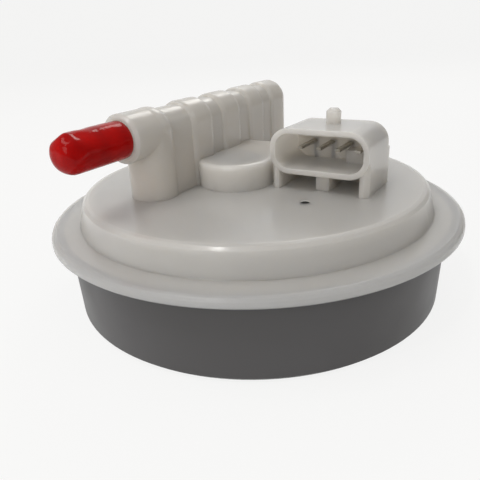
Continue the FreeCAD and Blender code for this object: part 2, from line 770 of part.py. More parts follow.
def make_cup():
    cup = body_named("reservoir_cup")
    base = "cup_foot - cup_depth"
    turned(cup, [
        ("cup_inner", "0"), ("cup_radius + cup_draft", "0"), ("cup_radius + cup_draft", "-cup_land"),
        ("cup_radius", "cup_edge - cup_depth"), ("cup_radius - cup_edge", "-cup_depth"),
        ("cup_inner", "-cup_depth"), ("cup_inner", base), ("0", base), ("0", "floor_z"),
        ("cup_inner", "floor_z"),
        ("cup_inner", "-snap_depth - snap_bead - snap_play"),
        ("cup_inner + snap_bead + snap_play", "-snap_depth"),
        ("cup_inner", "-snap_depth + snap_bead + snap_play"),
    ])
    # Posts of the saddles' rails and the pin of the fill valve.
    upright(cup, circle_of("fill_x", "fill_y", "fill_pin"), "floor_z - cup_floor / 2",
            "floor_z + fill_thickness + fill_lift + fill_nut_height + 0.6")
    upright(cup, circle_of("float_x", "float_y", "stem_radius + 1.2"), "floor_z - cup_floor / 2",
            "floor_z + stem_end_gap + 0.4")
    upright(cup, circle_of("float_x", "float_y", "stem_radius + 0.1"), "floor_z", "floor_z + 4", cut=True)
    for hole in range(4):
        angle = math.radians(45 + 90 * hole)
        across = f"fill_x + fill_circle * {math.cos(angle):.6f}"
        along = f"fill_y + fill_circle * {math.sin(angle):.6f}"
        upright(cup, circle_of(across, along, "fill_hole"), "-cup_depth - 1", "floor_z + 1", cut=True)
    # Notches in the foot let fuel run under the floor; they face away from the outlet.
    along_y(cup, box_of("-cup_notch_width / 2", "cup_notch_width / 2", "-cup_depth - 1", base),
            "0", "cup_radius + 5", cut=True)
    along_x(cup, box_of("-cup_notch_width / 2 + fill_y / 2", "cup_notch_width / 2 + fill_y / 2",
                        "-cup_depth - 1", base), "-cup_radius - 5", "0", cut=True)
    return cup


def make_regulator():
    """Body, seals, valve, spring, spring seat and clip on the regulator's own axis."""
    at = ("boss_x", "boss_y", "0")
    body = body_named("regulator_body", *at)
    ring_bottom = "pocket_radius - 2 * ring_section"
    grooves = []
    for ring in ("ring_low_z", "ring_high_z"):
        grooves += [("regulator_radius", f"{ring} - 1.1"), (ring_bottom, f"{ring} - 1.1"),
                    (ring_bottom, f"{ring} + 1.1"), ("regulator_radius", f"{ring} + 1.1")]
    low = "clip_z + clip_thickness"
    bore = "can_radius - can_wall"
    turned(body, [
        ("0", "pocket_top"), ("regulator_radius", "pocket_top")] + grooves[::-1] + [
        ("regulator_radius", low), ("can_radius", low), ("can_radius", "can_low_z"),
        (bore, "can_low_z"), (bore, "valve_seat_z - seat_depth"),
        ("seat_bore + seat_flare", "valve_seat_z - seat_depth"),
        ("seat_bore", "valve_seat_z"), ("seat_bore", "cross_z + 1"), ("0", "cross_z + 1"),
    ])
    # Fuel comes in through a waist and four holes level with the cross passage.
    turned(body, [
        ("regulator_radius - 1.2", "cross_z - 1.1"), ("regulator_radius + 1", "cross_z - 1.1"),
        ("regulator_radius + 1", "cross_z + 1.1"), ("regulator_radius - 1.2", "cross_z + 1.1"),
    ], cut=True)
    along_x(body, circle_of("0", "cross_z", "0.9"), "-regulator_radius - 1", "regulator_radius + 1",
            cut=True)
    along_y(body, circle_of("0", "cross_z", "0.9"), "-regulator_radius - 1", "regulator_radius + 1",
            cut=True)

    rings = []
    section = size("ring_section")
    for ring in ("ring_low_z", "ring_high_z"):
        middle = spot("boss_x + pocket_radius - ring_section", "boss_y", ring)
        corners = []
        for side in range(7):
            angle = math.pi / 3 * side
            corners.append(middle + Vector(section * math.cos(angle), 0, section * math.sin(angle)))
        face = Part.Face(Part.makePolygon(corners))
        rings.append(face.revolve(spot("boss_x", "boss_y", "0"), Vector(0, 0, 1), 360))
    shape_node("regulator_seals", Part.makeCompound(rings))

    valve = body_named("regulator_valve", *at)
    turned(valve, [
        ("0", "valve_seat_z + 0.9"), ("seat_bore * 0.45", "valve_seat_z + 0.9"),
        ("seat_bore - valve_play", "valve_seat_z"),
        ("seat_bore + seat_flare - valve_play", "valve_seat_z - seat_depth"),
        ("valve_radius", "valve_seat_z - seat_depth"), ("valve_radius", "valve_seat_z - valve_height"),
        ("valve_radius * 0.45", "valve_seat_z - valve_height"),
        ("valve_radius * 0.45", "valve_seat_z - valve_height - 1.2"), ("0", "valve_seat_z - valve_height - 1.2"),
    ])
    seat = body_named("regulator_spring_seat", *at)
    turned(seat, [
        ("fuel_bore", "can_low_z"), (bore, "can_low_z"), (bore, "can_low_z + spring_seat_height"),
        ("valve_radius + 0.8", "can_low_z + spring_seat_height"),
        ("valve_radius + 0.8", "can_low_z + spring_seat_height / 2"),
        ("fuel_bore", "can_low_z + spring_seat_height / 2"),
    ])
    coil_spring("regulator_spring", "valve_radius - 0.7", "spring_wire", "can_low_z + spring_seat_height / 2",
                "valve_seat_z - valve_height", 6, Placement(spot(*at), Rotation()))
    clip = body_named("regulator_clip", *at)
    turned(clip, [
        ("can_radius + 0.1", "clip_z"), ("pocket_radius + clip_grip - 0.1", "clip_z"),
        ("pocket_radius + clip_grip - 0.1", "clip_z + clip_thickness"),
        ("can_radius + 0.1", "clip_z + clip_thickness"),
    ])
    upright(clip, box_of("-can_radius / 2", "can_radius / 2", "0", "pocket_radius * 2"),
            "clip_z - 1", "clip_z + clip_thickness + 1", cut=True)


# The pump's pieces stand on its own axis: local +Z runs from the inlet to the outlet.
pump_frame = ("0", "pump_y", "pump_z", to_outlet)
inlet_end = "-pump_inlet_x"
outlet_end = "-pump_outlet_x"
impeller_face = "-pump_inlet_x + rotor_face"
chamber_end = "-pump_inlet_x + rotor_face + impeller_width + 2 * impeller_play"
plate_end = f"{chamber_end} + plate_length"
magnet_low = f"{plate_end} + 1.6"
core_low = f"{magnet_low} + magnet_length / 2 - core_length / 2"
core_high = f"{core_low} + core_length"
core_radius = "(pump_bore - magnet_thickness - air_gap)"
cap_face = f"{outlet_end} - pump_wall"
cap_low = f"{cap_face} - end_cap_length"
cavity_end = f"{cap_low} + commutator_length + 1"
bearing_end = f"{cavity_end} + 0.5 + bearing_length"
seat_face = f"{bearing_end} + 2.9"
nipple_end = f"{outlet_end} + outlet_nipple"
brush_middle = f"{cap_low} + commutator_length / 2 + 0.2"


def make_pump_shell():
    shell = body_named("pump_shell", *pump_frame)
    lip = "pump_bore - crimp_lip"
    turned(shell, [
        ("pump_radius", inlet_end), ("pump_radius", outlet_end), (lip, outlet_end),
        (lip, f"{outlet_end} - pump_wall"), ("pump_bore", f"{outlet_end} - pump_wall"),
        ("pump_bore", f"{inlet_end} + pump_wall"), (lip, f"{inlet_end} + pump_wall"), (lip, inlet_end),
    ])
    return shell


def make_inlet_cover():
    cover = body_named("inlet_cover", *pump_frame)
    base = f"{inlet_end} + pump_wall"
    turned(cover, [
        ("inlet_bore", f"{inlet_end} - inlet_nipple"), ("inlet_nipple_radius", f"{inlet_end} - inlet_nipple"),
        ("inlet_nipple_radius", base), ("pump_bore - plate_fit", base),
        ("pump_bore - plate_fit", impeller_face), ("inlet_bore", impeller_face),
    ])
    # Ring channel opposite the vanes, fed from the inlet by a radial groove.
    turned(cover, [
        ("impeller_radius - vane_depth - 0.8", f"{impeller_face} - 1"),
        ("impeller_radius - 0.2", f"{impeller_face} - 1"), ("impeller_radius - 0.2", f"{impeller_face} + 1"),
        ("impeller_radius - vane_depth - 0.8", f"{impeller_face} + 1"),
    ], cut=True)
    upright(cover, box_of("0", "impeller_radius - 1.2", "-1.5", "1.5"), f"{impeller_face} - 1.8",
            f"{impeller_face} + 1", cut=True)
    return cover


def make_impeller():
    impeller = body_named("impeller", *pump_frame)
    low = f"{impeller_face} + impeller_play"
    turned(impeller, [
        ("shaft_radius", low), ("impeller_radius", low), ("impeller_radius", f"{low} + impeller_width"),
        ("shaft_radius", f"{low} + impeller_width"),
    ])
    slot = upright(impeller, box_of("impeller_radius - vane_depth", "impeller_radius + 1",
                                    "-vane_slot / 2", "vane_slot / 2"),
                   f"{low} - 1", f"{low} + impeller_width + 1", cut=True)
    polar(impeller, [slot], "vane_count")
    return impeller


def make_pump_plate():
    plate = body_named("pump_plate", *pump_frame)
    turned(plate, [
        ("impeller_radius + impeller_play", impeller_face), ("pump_bore - plate_fit", impeller_face),
        ("pump_bore - plate_fit", plate_end), ("bearing_radius", plate_end),
        ("bearing_radius", f"{plate_end} - bearing_length"),
        ("shaft_radius + 0.4", f"{plate_end} - bearing_length"), ("shaft_radius + 0.4", chamber_end),
        ("impeller_radius + impeller_play", chamber_end),
    ])
    upright(plate, circle_of("-impeller_radius + vane_depth", "0", "1.2"), f"{chamber_end} - 1",
            f"{plate_end} + 1", cut=True)
    return plate


def make_bearing(label, low):
    bearing = body_named(label, *pump_frame)
    turned(bearing, [
        ("shaft_radius + shaft_fit", low), ("bearing_radius", low),
        ("bearing_radius", f"{low} + bearing_length"), ("shaft_radius + shaft_fit", f"{low} + bearing_length"),
    ])
    return bearing


def make_motor():
    """Magnets, shaft, laminated core, windings and commutator."""
    low, high = size(magnet_low), size(magnet_low) + size("magnet_length")
    outer, inner = size("pump_bore"), size("pump_bore - magnet_thickness")
    arcs = []
    for start in (20, 200):
        ring = Part.makeCylinder(outer, high - low, Vector(0, 0, low), Vector(0, 0, 1), 140)
        ring = ring.cut(Part.makeCylinder(inner, high - low, Vector(0, 0, low)))
        arcs.append(ring.rotated(Vector(0, 0, 0), Vector(0, 0, 1), start))
    magnets = shape_node("motor_magnets", Part.makeCompound(arcs))
    magnets.Placement = Placement(Vector(0, size("pump_y"), size("pump_z")), to_outlet)

    shaft = body_named("armature_shaft", *pump_frame)
    turned(shaft, [
        ("0", f"{impeller_face} + impeller_play"), ("shaft_radius", f"{impeller_face} + impeller_play"),
        ("shaft_radius", f"{bearing_end} - 0.4"), ("0", f"{bearing_end} - 0.4"),
    ])

    core = body_named("armature_core", *pump_frame)
    turned(core, [
        ("shaft_radius", core_low), (core_radius, core_low), (core_radius, core_high), ("shaft_radius", core_high),
    ])
    hole = upright(core, circle_of(f"{core_radius} - slot_radius - 0.8", "0", "slot_radius"),
                   f"{core_low} - 1", f"{core_high} + 1", cut=True)
    slit = upright(core, box_of(f"{core_radius} - 1.5", f"{core_radius} + 1", "-0.5", "0.5"),
                   f"{core_low} - 1", f"{core_high} + 1", cut=True)
    polar(core, [hole, slit], "slot_count")

    windings = body_named("armature_windings", *pump_frame)
    wide, narrow = f"{core_radius} - 1", "shaft_radius + 2.2"
    for start, end in ((f"{core_low} - winding_length", core_low), (core_high, f"{core_high} + winding_length")):
        turned(windings, [
            (narrow, start), (f"{wide} - 1", start), (wide, f"({start} + {end}) / 2"), (wide, end),
            (narrow, end),
        ])
        if end == core_low:
            rod = upright(windings, circle_of(f"{core_radius} - slot_radius - 0.8", "0", "slot_radius - 0.1"),
                          f"{core_low} - 0.5", f"{core_high} + 0.5")
            polar(windings, [rod], "slot_count")

    commutator = body_named("commutator", *pump_frame)
    low = f"{cap_low} + 0.2"
    turned(commutator, [
        ("shaft_radius", low), ("commutator_radius", low), ("commutator_radius", f"{low} + commutator_length"),
        ("shaft_radius", f"{low} + commutator_length"),
    ])
    slit = upright(commutator, box_of("commutator_radius - 0.8", "commutator_radius + 1", "-0.2", "0.2"),
                   f"{low} - 1", f"{low} + commutator_length + 1", cut=True)
    polar(commutator, [slit], "slot_count")


def make_outlet_cover():
    cover = body_named("outlet_cover", *pump_frame)
    turned(cover, [
        ("commutator_radius + 0.8", cap_low), ("pump_bore - plate_fit", cap_low),
        ("pump_bore - plate_fit", cap_face), ("nipple_radius", cap_face), ("nipple_radius", nipple_end),
        ("check_chamber", nipple_end), ("check_chamber", seat_face), ("check_chamber - 1.2", seat_face),
        ("check_chamber - 1.2", f"{seat_face} - 1.6"), ("5.8", f"{seat_face} - 1.6"), ("5.8", bearing_end),
        ("bearing_radius", bearing_end), ("bearing_radius", cavity_end),
        ("commutator_radius + 0.8", cavity_end),
    ])
    for side in ("-", "+"):
        upright(cover, circle_of(f"{side}4.65", "0", "1.1"), f"{cavity_end} - 1", f"{bearing_end} + 0.5",
                cut=True)
        upright(cover, box_of("blade_radius - blade_thickness / 2", "blade_radius + blade_thickness / 2",
                              f"{side}blade_spread - blade_width / 2", f"{side}blade_spread + blade_width / 2"),
                f"{cap_face} - 3", f"{cap_face} + 1", cut=True)
    # Brush ways run straight across, from the shell to the commutator.
    along_y(cover, box_of("-brush_width / 2 - brush_fit", "brush_width / 2 + brush_fit",
                          f"{brush_middle} - brush_height / 2 - brush_fit",
                          f"{brush_middle} + brush_height / 2 + brush_fit"),
            "-pump_radius", "pump_radius", cut=True)
    return cover


def make_brush_gear():
    start = "commutator_radius + 0.02"
    for label, low in (("rear_brush", start), ("front_brush", f"-({start}) - brush_length")):
        brush = body_named(label, *pump_frame)
        along_y(brush, box_of("-brush_width / 2", "brush_width / 2", f"{brush_middle} - brush_height / 2",
                              f"{brush_middle} + brush_height / 2"), low, f"{low} + brush_length")
    back = f"{start} + brush_length"
    for label, angle in (("rear_brush_spring", -90), ("front_brush_spring", 90)):
        coil_spring(label, "1.15", "0.15", back, "pump_bore", 5,
                    Placement(spot(f"-({brush_middle})", "pump_y", "pump_z"), Rotation(Vector(1, 0, 0), angle)))
    blades = []
    for side in (-1, 1):
        blade = Part.makeBox(size("blade_thickness"), size("blade_width"), size("blade_length") + size("pump_wall") + 3,
                             Vector(size("blade_radius - blade_thickness / 2"),
                                    side * size("blade_spread") - size("blade_width / 2"), size(cap_face) - 3))
        blades.append(blade)
    node = shape_node("pump_terminals", Part.makeCompound(blades))
    node.Placement = Placement(Vector(0, size("pump_y"), size("pump_z")), to_outlet)


def make_check_valve():
    valve = body_named("check_valve", *pump_frame)
    disc = "check_chamber - 0.5"
    turned(valve, [
        ("0", f"{seat_face} - 0.8"), ("check_chamber - 2.2", f"{seat_face} - 0.8"),
        ("check_chamber - 1.25", seat_face), (disc, seat_face), (disc, f"{seat_face} + 0.9"),
        ("0.8", f"{seat_face} + 0.9"), ("0.8", f"{seat_face} + check_length"), ("0", f"{seat_face} + check_length"),
    ])
    low = f"{nipple_end} - retainer_length - 0.4"
    retainer = body_named("check_retainer", *pump_frame)
    turned(retainer, [
        ("0.9", low), ("check_chamber", low), ("check_chamber", f"{low} + retainer_length"),
        ("0.9", f"{low} + retainer_length"),
    ])
    hole = upright(retainer, circle_of("1.8", "0", "0.55"), f"{low} - 1", f"{low} + retainer_length + 1", cut=True)
    polar(retainer, [hole], "6")
    coil_spring("check_spring", "1.7", "0.2", f"{seat_face} + 0.9", low, 4,
                Placement(spot(*pump_frame[:3]), to_outlet))


def make_cradle():
    cradle = body_named("pump_cradle")
    reach = "pump_radius + cushion_thickness"
    saddles = []
    for x in ("saddle_inlet_x", "saddle_outlet_x"):
        left, right = f"{x} - cushion_width / 2", f"{x} + cushion_width / 2"
        along_x(cradle, box_of(f"pump_y - {reach} - saddle_wall", f"pump_y + {reach} + saddle_wall", "floor_z",
                               "saddle_top_z"), left, right)
        saddles.append((left, right))
    for side in ("-", "+"):
        middle = f"pump_y {side} pump_radius * 0.6"
        along_x(cradle, box_of(f"{middle} - rail_width / 2", f"{middle} + rail_width / 2", "floor_z",
                               "floor_z + rail_height"), "saddle_outlet_x", "saddle_inlet_x")
    for left, right in saddles:
        along_x(cradle, circle_of("pump_y", "pump_z", reach), f"{left} - 1", f"{right} + 1", cut=True)
    rings = []
    for x in ("saddle_inlet_x", "saddle_outlet_x"):
        start = spot(f"{x} - cushion_width / 2", "pump_y", "pump_z")
        outer = Part.makeCylinder(size(reach), size("cushion_width"), start, Vector(1, 0, 0))
        rings.append(outer.cut(Part.makeCylinder(size("pump_radius"), size("cushion_width"), start,
                                                 Vector(1, 0, 0))))
    shape_node("pump_cushions", Part.makeCompound(rings))


def make_hose():
    corners = [
        spot("pump_outlet_x - 1", "pump_y", "pump_z"), spot("hose_reach_x", "pump_y", "pump_z"),
        spot("hose_reach_x", "riser_y", "nipple_z"),
        spot("row_x - nipple_radius - 1.6", "riser_y", "nipple_z"),
    ]
    path = route_points(corners, size("hose_bend"))
    bore = size("hose_bore") / math.cos(math.pi / 16)
    outer = rod_along(path, size("hose_bore + hose_wall"), 16)
    shape_node("outlet_hose", outer.cut(rod_along(path, bore, 16)))
    rings = []
    ends = [("pump_outlet_x - 2", "pump_y", "pump_z", -1),
            ("row_x - nipple_radius - 3 - clamp_width", "riser_y", "nipple_z", 1)]
    for x, y, z, way in ends:
        start, along = spot(x, y, z), Vector(way, 0, 0)
        band = Part.makeCylinder(size("hose_bore + hose_wall + clamp_thickness"), size("clamp_width"), start, along)
        ear = Part.makeBox(size("clamp_width"), 2.4, 1.6, start + Vector(
            -size("clamp_width") if way < 0 else 0, -1.2, -size("hose_bore + hose_wall + clamp_thickness") - 1.2))
        band = band.fuse(ear).cut(Part.makeCylinder(size("hose_bore + hose_wall"), size("clamp_width"), start, along))
        rings.append(band.removeSplitter())
    shape_node("hose_clamps", Part.makeCompound(rings))


def make_strainer():
    bag = body_named("strainer_bag")
    left, right = "strainer_x - strainer_width / 2", "strainer_x + strainer_width / 2"
    low, high = "strainer_y - strainer_length / 2", "strainer_y + strainer_length / 2"
    top = "floor_z + strainer_height"
    pillow = upright(bag, rounded_of(left, right, low, high, "strainer_round * 2"), "floor_z", top)
    round_edges(bag, pillow, "strainer_round", lambda edge: abs(edge.BoundBox.ZMin - size(top)) < 0.01)

    elbow = body_named("strainer_elbow")
    outer = "inlet_nipple_radius + elbow_wall"
    drop_x = "pump_inlet_x + inlet_nipple / 2 + 0.8"
    end_x = "pump_inlet_x + inlet_nipple"
    tube_z = "floor_z + strainer_height / 2"
    along_x(elbow, circle_of("pump_y", "pump_z", outer), "pump_inlet_x + 0.6", f"{end_x} + elbow_wall")
    upright(elbow, circle_of(drop_x, "pump_y", "elbow_height"), tube_z, "pump_z")
    along_y(elbow, circle_of(drop_x, tube_z, "strainer_height / 2 - 0.3"), "pump_y", low)
    upright(elbow, circle_of(drop_x, "pump_y", "strainer_height / 2 - 0.3"), f"{tube_z} - 1", tube_z)
    along_x(elbow, circle_of("pump_y", "pump_z", "inlet_nipple_radius"), "pump_inlet_x - 1", f"{end_x} + 0.1",
            cut=True)
    upright(elbow, circle_of(drop_x, "pump_y", "fuel_bore"), tube_z, "pump_z", cut=True)
    along_y(elbow, circle_of(drop_x, tube_z, "fuel_bore"), "pump_y", f"{low} + 1", cut=True)


def make_float_switch():
    at = ("float_x", "float_y", "0")
    clip_low = "floor_z + stem_end_gap + 0.6"
    float_low = f"{clip_low} + float_clip_height"
    stem = body_named("float_stem", *at)
    turned(stem, [
        ("0", "floor_z + stem_end_gap"), ("stem_radius", "floor_z + stem_end_gap"), ("stem_radius", clip_low),
        ("stem_radius - 0.4", clip_low), ("stem_radius - 0.4", float_low), ("stem_radius", float_low),
        ("stem_radius", "roof_z - stem_base_height"), ("stem_base_radius", "roof_z - stem_base_height"),
        ("stem_base_radius", "roof_z"), ("stem_radius", "roof_z"), ("stem_radius", "plateau_height - 1.1"),
        ("0", "plateau_height - 1.1"),
    ])
    clip = body_named("float_clip", *at)
    turned(clip, [
        ("stem_radius - 0.4", clip_low), ("float_clip_radius", clip_low), ("float_clip_radius", float_low),
        ("stem_radius - 0.4", float_low),
    ])
    upright(clip, box_of("-stem_radius * 0.7", "stem_radius * 0.7", "0", "float_clip_radius + 1"),
            f"{clip_low} - 1", f"{float_low} + 1", cut=True)
    buoy = body_named("level_float", *at)
    ring = turned(buoy, [
        ("stem_radius + float_play", float_low), ("float_radius", float_low),
        ("float_radius", f"{float_low} + float_height"), ("stem_radius + float_play", f"{float_low} + float_height"),
    ])
    round_edges(buoy, ring, "float_radius / 6", lambda edge: circle_at(edge, "float_radius", float_low)
                or circle_at(edge, "float_radius", f"{float_low} + float_height"), "Chamfer")


def make_fill_valve():
    at = ("fill_x", "fill_y", "floor_z")
    disc = body_named("fill_valve", *at)
    turned(disc, [
        ("fill_pin + float_play", "0"), ("fill_radius", "0"), ("fill_radius", "fill_thickness / 2"),
        ("fill_radius - 1", "fill_thickness"), ("fill_pin + float_play", "fill_thickness"),
    ])
    nut = body_named("fill_valve_nut", *at)
    low = "fill_thickness + fill_lift"
    turned(nut, [
        ("fill_pin", low), ("fill_nut_radius", low), ("fill_nut_radius", f"{low} + fill_nut_height"),
        ("fill_pin", f"{low} + fill_nut_height"),
    ])


def make_leads():
    """Wires from the socket's terminals to the pump's blades and to the float switch."""
    bend, radius = size("lead_bend"), size("lead_radius")
    blade_x = size("pump_outlet_x") - size("blade_length")
    blade_z = size("pump_z") + size("blade_radius")
    pin_y, pin_low = size("pin_drop_y"), size("pin_low_z")
    pins = [size(f"pin_x + {pin - 1.5} * pin_pitch") for pin in range(4)]
    rear, front = size("pump_y + blade_spread"), size("pump_y - blade_spread")

    pump_routes = [
        [Vector(blade_x, rear, blade_z), Vector(blade_x - 4.6, rear, blade_z - 0.5), Vector(-36, -10.5, -5.5),
         Vector(-28, 4, -8.5), Vector(-15, 14.5, -7), Vector(1, 17.5, -6), Vector(pins[0] - 6, pin_y + 3, -5.5),
         Vector(pins[0], pin_y, -6), Vector(pins[0], pin_y, pin_low)],
        [Vector(blade_x, front, blade_z), Vector(blade_x - 6.2, front, blade_z + 0.3), Vector(-38.7, -18, 0.2),
         Vector(-32.5, -7, -8), Vector(-25.5, 4, -12), Vector(-13, 11.5, -11), Vector(2, 13.5, -10),
         Vector(pins[1] - 6, pin_y + 2, -9.5), Vector(pins[1], pin_y, -7), Vector(pins[1], pin_y, pin_low)],
    ]
    solids = []
    for route in pump_routes:
        lead = rod_along(route_points(route, bend, 2), radius, 6)
        sleeve = Part.makeBox(4.2, size("blade_width") + 1.2, size("blade_thickness") + 1.4,
                              route[0] + Vector(-0.3, -size("blade_width") / 2 - 0.6,
                                                -size("blade_thickness") / 2 - 0.7))
        slot = Part.makeBox(6, size("blade_width"), size("blade_thickness"),
                            route[0] + Vector(0, -size("blade_width") / 2, -size("blade_thickness") / 2))
        solids.append(lead.fuse(sleeve).cut(slot).removeSplitter())
    shape_node("pump_leads", Part.makeCompound(solids))

    base_x, base_y = size("float_x") + size("stem_base_radius"), size("float_y")
    base_z = size("roof_z") - size("stem_base_height") / 2
    switch_routes = [
        [Vector(pins[2], pin_y, pin_low), Vector(pins[2], pin_y, -3.5), Vector(pins[2] - 2, 19, -2.5),
         Vector(17, 28, 3), Vector(8, base_y - 1, base_z), Vector(base_x, base_y - 1, base_z)],
        [Vector(pins[3], pin_y, pin_low), Vector(pins[3], pin_y, -3.5), Vector(pins[3] - 2, 21, -2.5),
         Vector(20, 32, 3), Vector(9, base_y + 2, base_z), Vector(base_x + 0.4, base_y + 2, base_z)],
    ]
    solids = [rod_along(route_points(route, bend, 2), radius, 6) for route in switch_routes]
    shape_node("switch_leads", Part.makeCompound(solids))


make_flange()
make_terminals()
make_terminal_seal()
make_outlet_cap()
make_gasket()
make_passage_plugs()
make_cup()
make_regulator()
make_pump_shell()
make_inlet_cover()
make_impeller()
make_pump_plate()
make_bearing("inlet_bearing", f"{plate_end} - bearing_length")
make_bearing("outlet_bearing", f"{bearing_end} - bearing_length")
make_motor()
make_outlet_cover()
make_brush_gear()
make_check_valve()
make_cradle()
make_hose()
make_strainer()
make_float_switch()
make_fill_valve()
make_leads()
doc.recompute()

failed = [thing.Name for thing in doc.Objects if {"Invalid", "Error"} & set(thing.State)]
if failed:
    raise RuntimeError(f"these did not build: {failed}")

nodes = [thing for thing in doc.Objects if thing.isDerivedFrom("PartDesign::Body") or thing.TypeId == "Part::Feature"]
for node in nodes:
    if node.Shape.isNull() or not node.Shape.isValid():
        raise RuntimeError(f"{node.Label} has no sound shape")
    steps = [step for step in getattr(node, "Group", []) if step.isDerivedFrom("PartDesign::FeatureAddSub")]
    for before, after in zip(steps, steps[1:]):
        if after.Name.startswith("Pad") and after.Shape.Volume < before.Shape.Volume:
            raise RuntimeError(f"{node.Label} lost material at {after.Name}")

os.makedirs("parts", exist_ok=True)
for node in nodes:
    node.Shape.exportStep(f"parts/{node.Label}.step")
    box = node.Shape.BoundBox
    print(f"{node.Label}: {len(node.Shape.Solids)} solids, {node.Shape.Volume:.1f} mm3, "
          f"z {box.ZMin:.1f} to {box.ZMax:.1f}")
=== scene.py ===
import json
import math

import bmesh
import bpy
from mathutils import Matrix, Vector


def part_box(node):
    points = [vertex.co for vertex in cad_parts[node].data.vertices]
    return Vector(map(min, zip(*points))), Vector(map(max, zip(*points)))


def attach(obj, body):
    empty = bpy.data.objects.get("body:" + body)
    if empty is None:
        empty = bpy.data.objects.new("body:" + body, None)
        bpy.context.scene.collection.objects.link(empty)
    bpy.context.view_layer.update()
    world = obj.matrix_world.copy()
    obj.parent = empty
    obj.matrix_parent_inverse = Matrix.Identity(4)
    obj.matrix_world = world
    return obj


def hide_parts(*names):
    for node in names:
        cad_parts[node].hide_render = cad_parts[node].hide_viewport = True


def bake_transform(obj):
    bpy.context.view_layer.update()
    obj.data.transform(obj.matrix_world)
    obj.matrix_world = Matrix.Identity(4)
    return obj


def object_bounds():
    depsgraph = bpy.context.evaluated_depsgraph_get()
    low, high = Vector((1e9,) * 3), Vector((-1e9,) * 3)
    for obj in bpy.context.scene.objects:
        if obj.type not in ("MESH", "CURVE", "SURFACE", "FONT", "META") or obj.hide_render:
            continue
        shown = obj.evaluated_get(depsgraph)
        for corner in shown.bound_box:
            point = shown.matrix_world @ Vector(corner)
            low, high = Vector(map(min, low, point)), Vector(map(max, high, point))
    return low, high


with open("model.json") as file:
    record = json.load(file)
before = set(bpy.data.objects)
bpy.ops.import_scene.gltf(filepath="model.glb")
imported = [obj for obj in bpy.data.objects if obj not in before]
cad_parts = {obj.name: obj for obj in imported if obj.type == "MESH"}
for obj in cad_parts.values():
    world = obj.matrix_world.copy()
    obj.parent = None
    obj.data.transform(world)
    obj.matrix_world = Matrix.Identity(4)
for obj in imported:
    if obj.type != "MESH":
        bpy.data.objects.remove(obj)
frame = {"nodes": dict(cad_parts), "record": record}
cadBox = [list(corner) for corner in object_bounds()]


# Small tools for working by hand on one piece

shapeSettings = {
    "facing": 0.9,  # how squarely a picked face looks along an axis
    "hair": 0.00001,
    "smoothBelow": 50,
}


def deselectAll():
    if bpy.context.object and bpy.context.object.mode != "OBJECT":
        bpy.ops.object.mode_set(mode="OBJECT")
    bpy.ops.object.select_all(action="DESELECT")


def pick(piece):
    deselectAll()
    piece.select_set(True)
    bpy.context.view_layer.objects.active = piece


def settle(piece):
    pick(piece)  # its place goes into its mesh
    bpy.ops.object.transform_apply(location=True, rotation=True, scale=True)


def selectFaces(piece, wanted):
    shape = bmesh.from_edit_mesh(piece.data)  # only in edit mode
    bpy.context.tool_settings.mesh_select_mode = (False, False, True)
    for face in shape.faces:
        face.select_set(False)
    for face in shape.faces:
        if wanted(face):
            face.select_set(True)
    shape.select_flush_mode()
    bmesh.update_edit_mesh(piece.data)


def selectEdges(piece, wanted):
    bpy.context.tool_settings.mesh_select_mode = (False, True, False)
    shape = bmesh.from_edit_mesh(piece.data)  # only in edit mode
    for edge in shape.edges:
        edge.select_set(wanted(edge))
    shape.select_flush_mode()
    bmesh.update_edit_mesh(piece.data)


def looksAlong(face, axis, way):
    return face.normal[axis] * way > shapeSettings["facing"]


def roundEdges(piece, width, segments, sharpAbove):
    rounding = piece.modifiers.new("rounding", "BEVEL")
    rounding.width = width
    rounding.segments = segments
    rounding.limit_method = "ANGLE"
    rounding.angle_limit = math.radians(sharpAbove)
    bpy.ops.object.modifier_apply(modifier=rounding.name)


def smoothFaces():
    bpy.ops.object.shade_smooth_by_angle(angle=math.radians(shapeSettings["smoothBelow"]))


# Camera, floor and light

viewSettings = {
    "place": (0.07869, -0.13239, 0.05557),
    "turn": (66.469, 2.843, 31.563),
    "lens": 36.19,
    "sensor": 36.0,
    "nearest": 0.005,
}


def placeCamera():
    lens = bpy.data.cameras.new("photoCamera")
    lens.lens = viewSettings["lens"]
    lens.sensor_width = viewSettings["sensor"]
    lens.sensor_fit = "HORIZONTAL"
    lens.clip_start = viewSettings["nearest"]
    camera = bpy.data.objects.new("photoCamera", lens)
    camera.location = viewSettings["place"]
    camera.rotation_euler = [math.radians(angle) for angle in viewSettings["turn"]]
    bpy.context.scene.collection.objects.link(camera)
    bpy.context.scene.camera = camera


floorSettings = {
    "width": 2.8,
    "drop": 0.0002,
    "sweepRadius": 0.6,
    "sweepSteps": 12,
    "wallHeight": 1.5,
    "colour": (0.80, 0.80, 0.795, 1.0),
    "shown": (1.0, 1.0, 0.995, 1.0),
    "shownShare": 0.85,
}


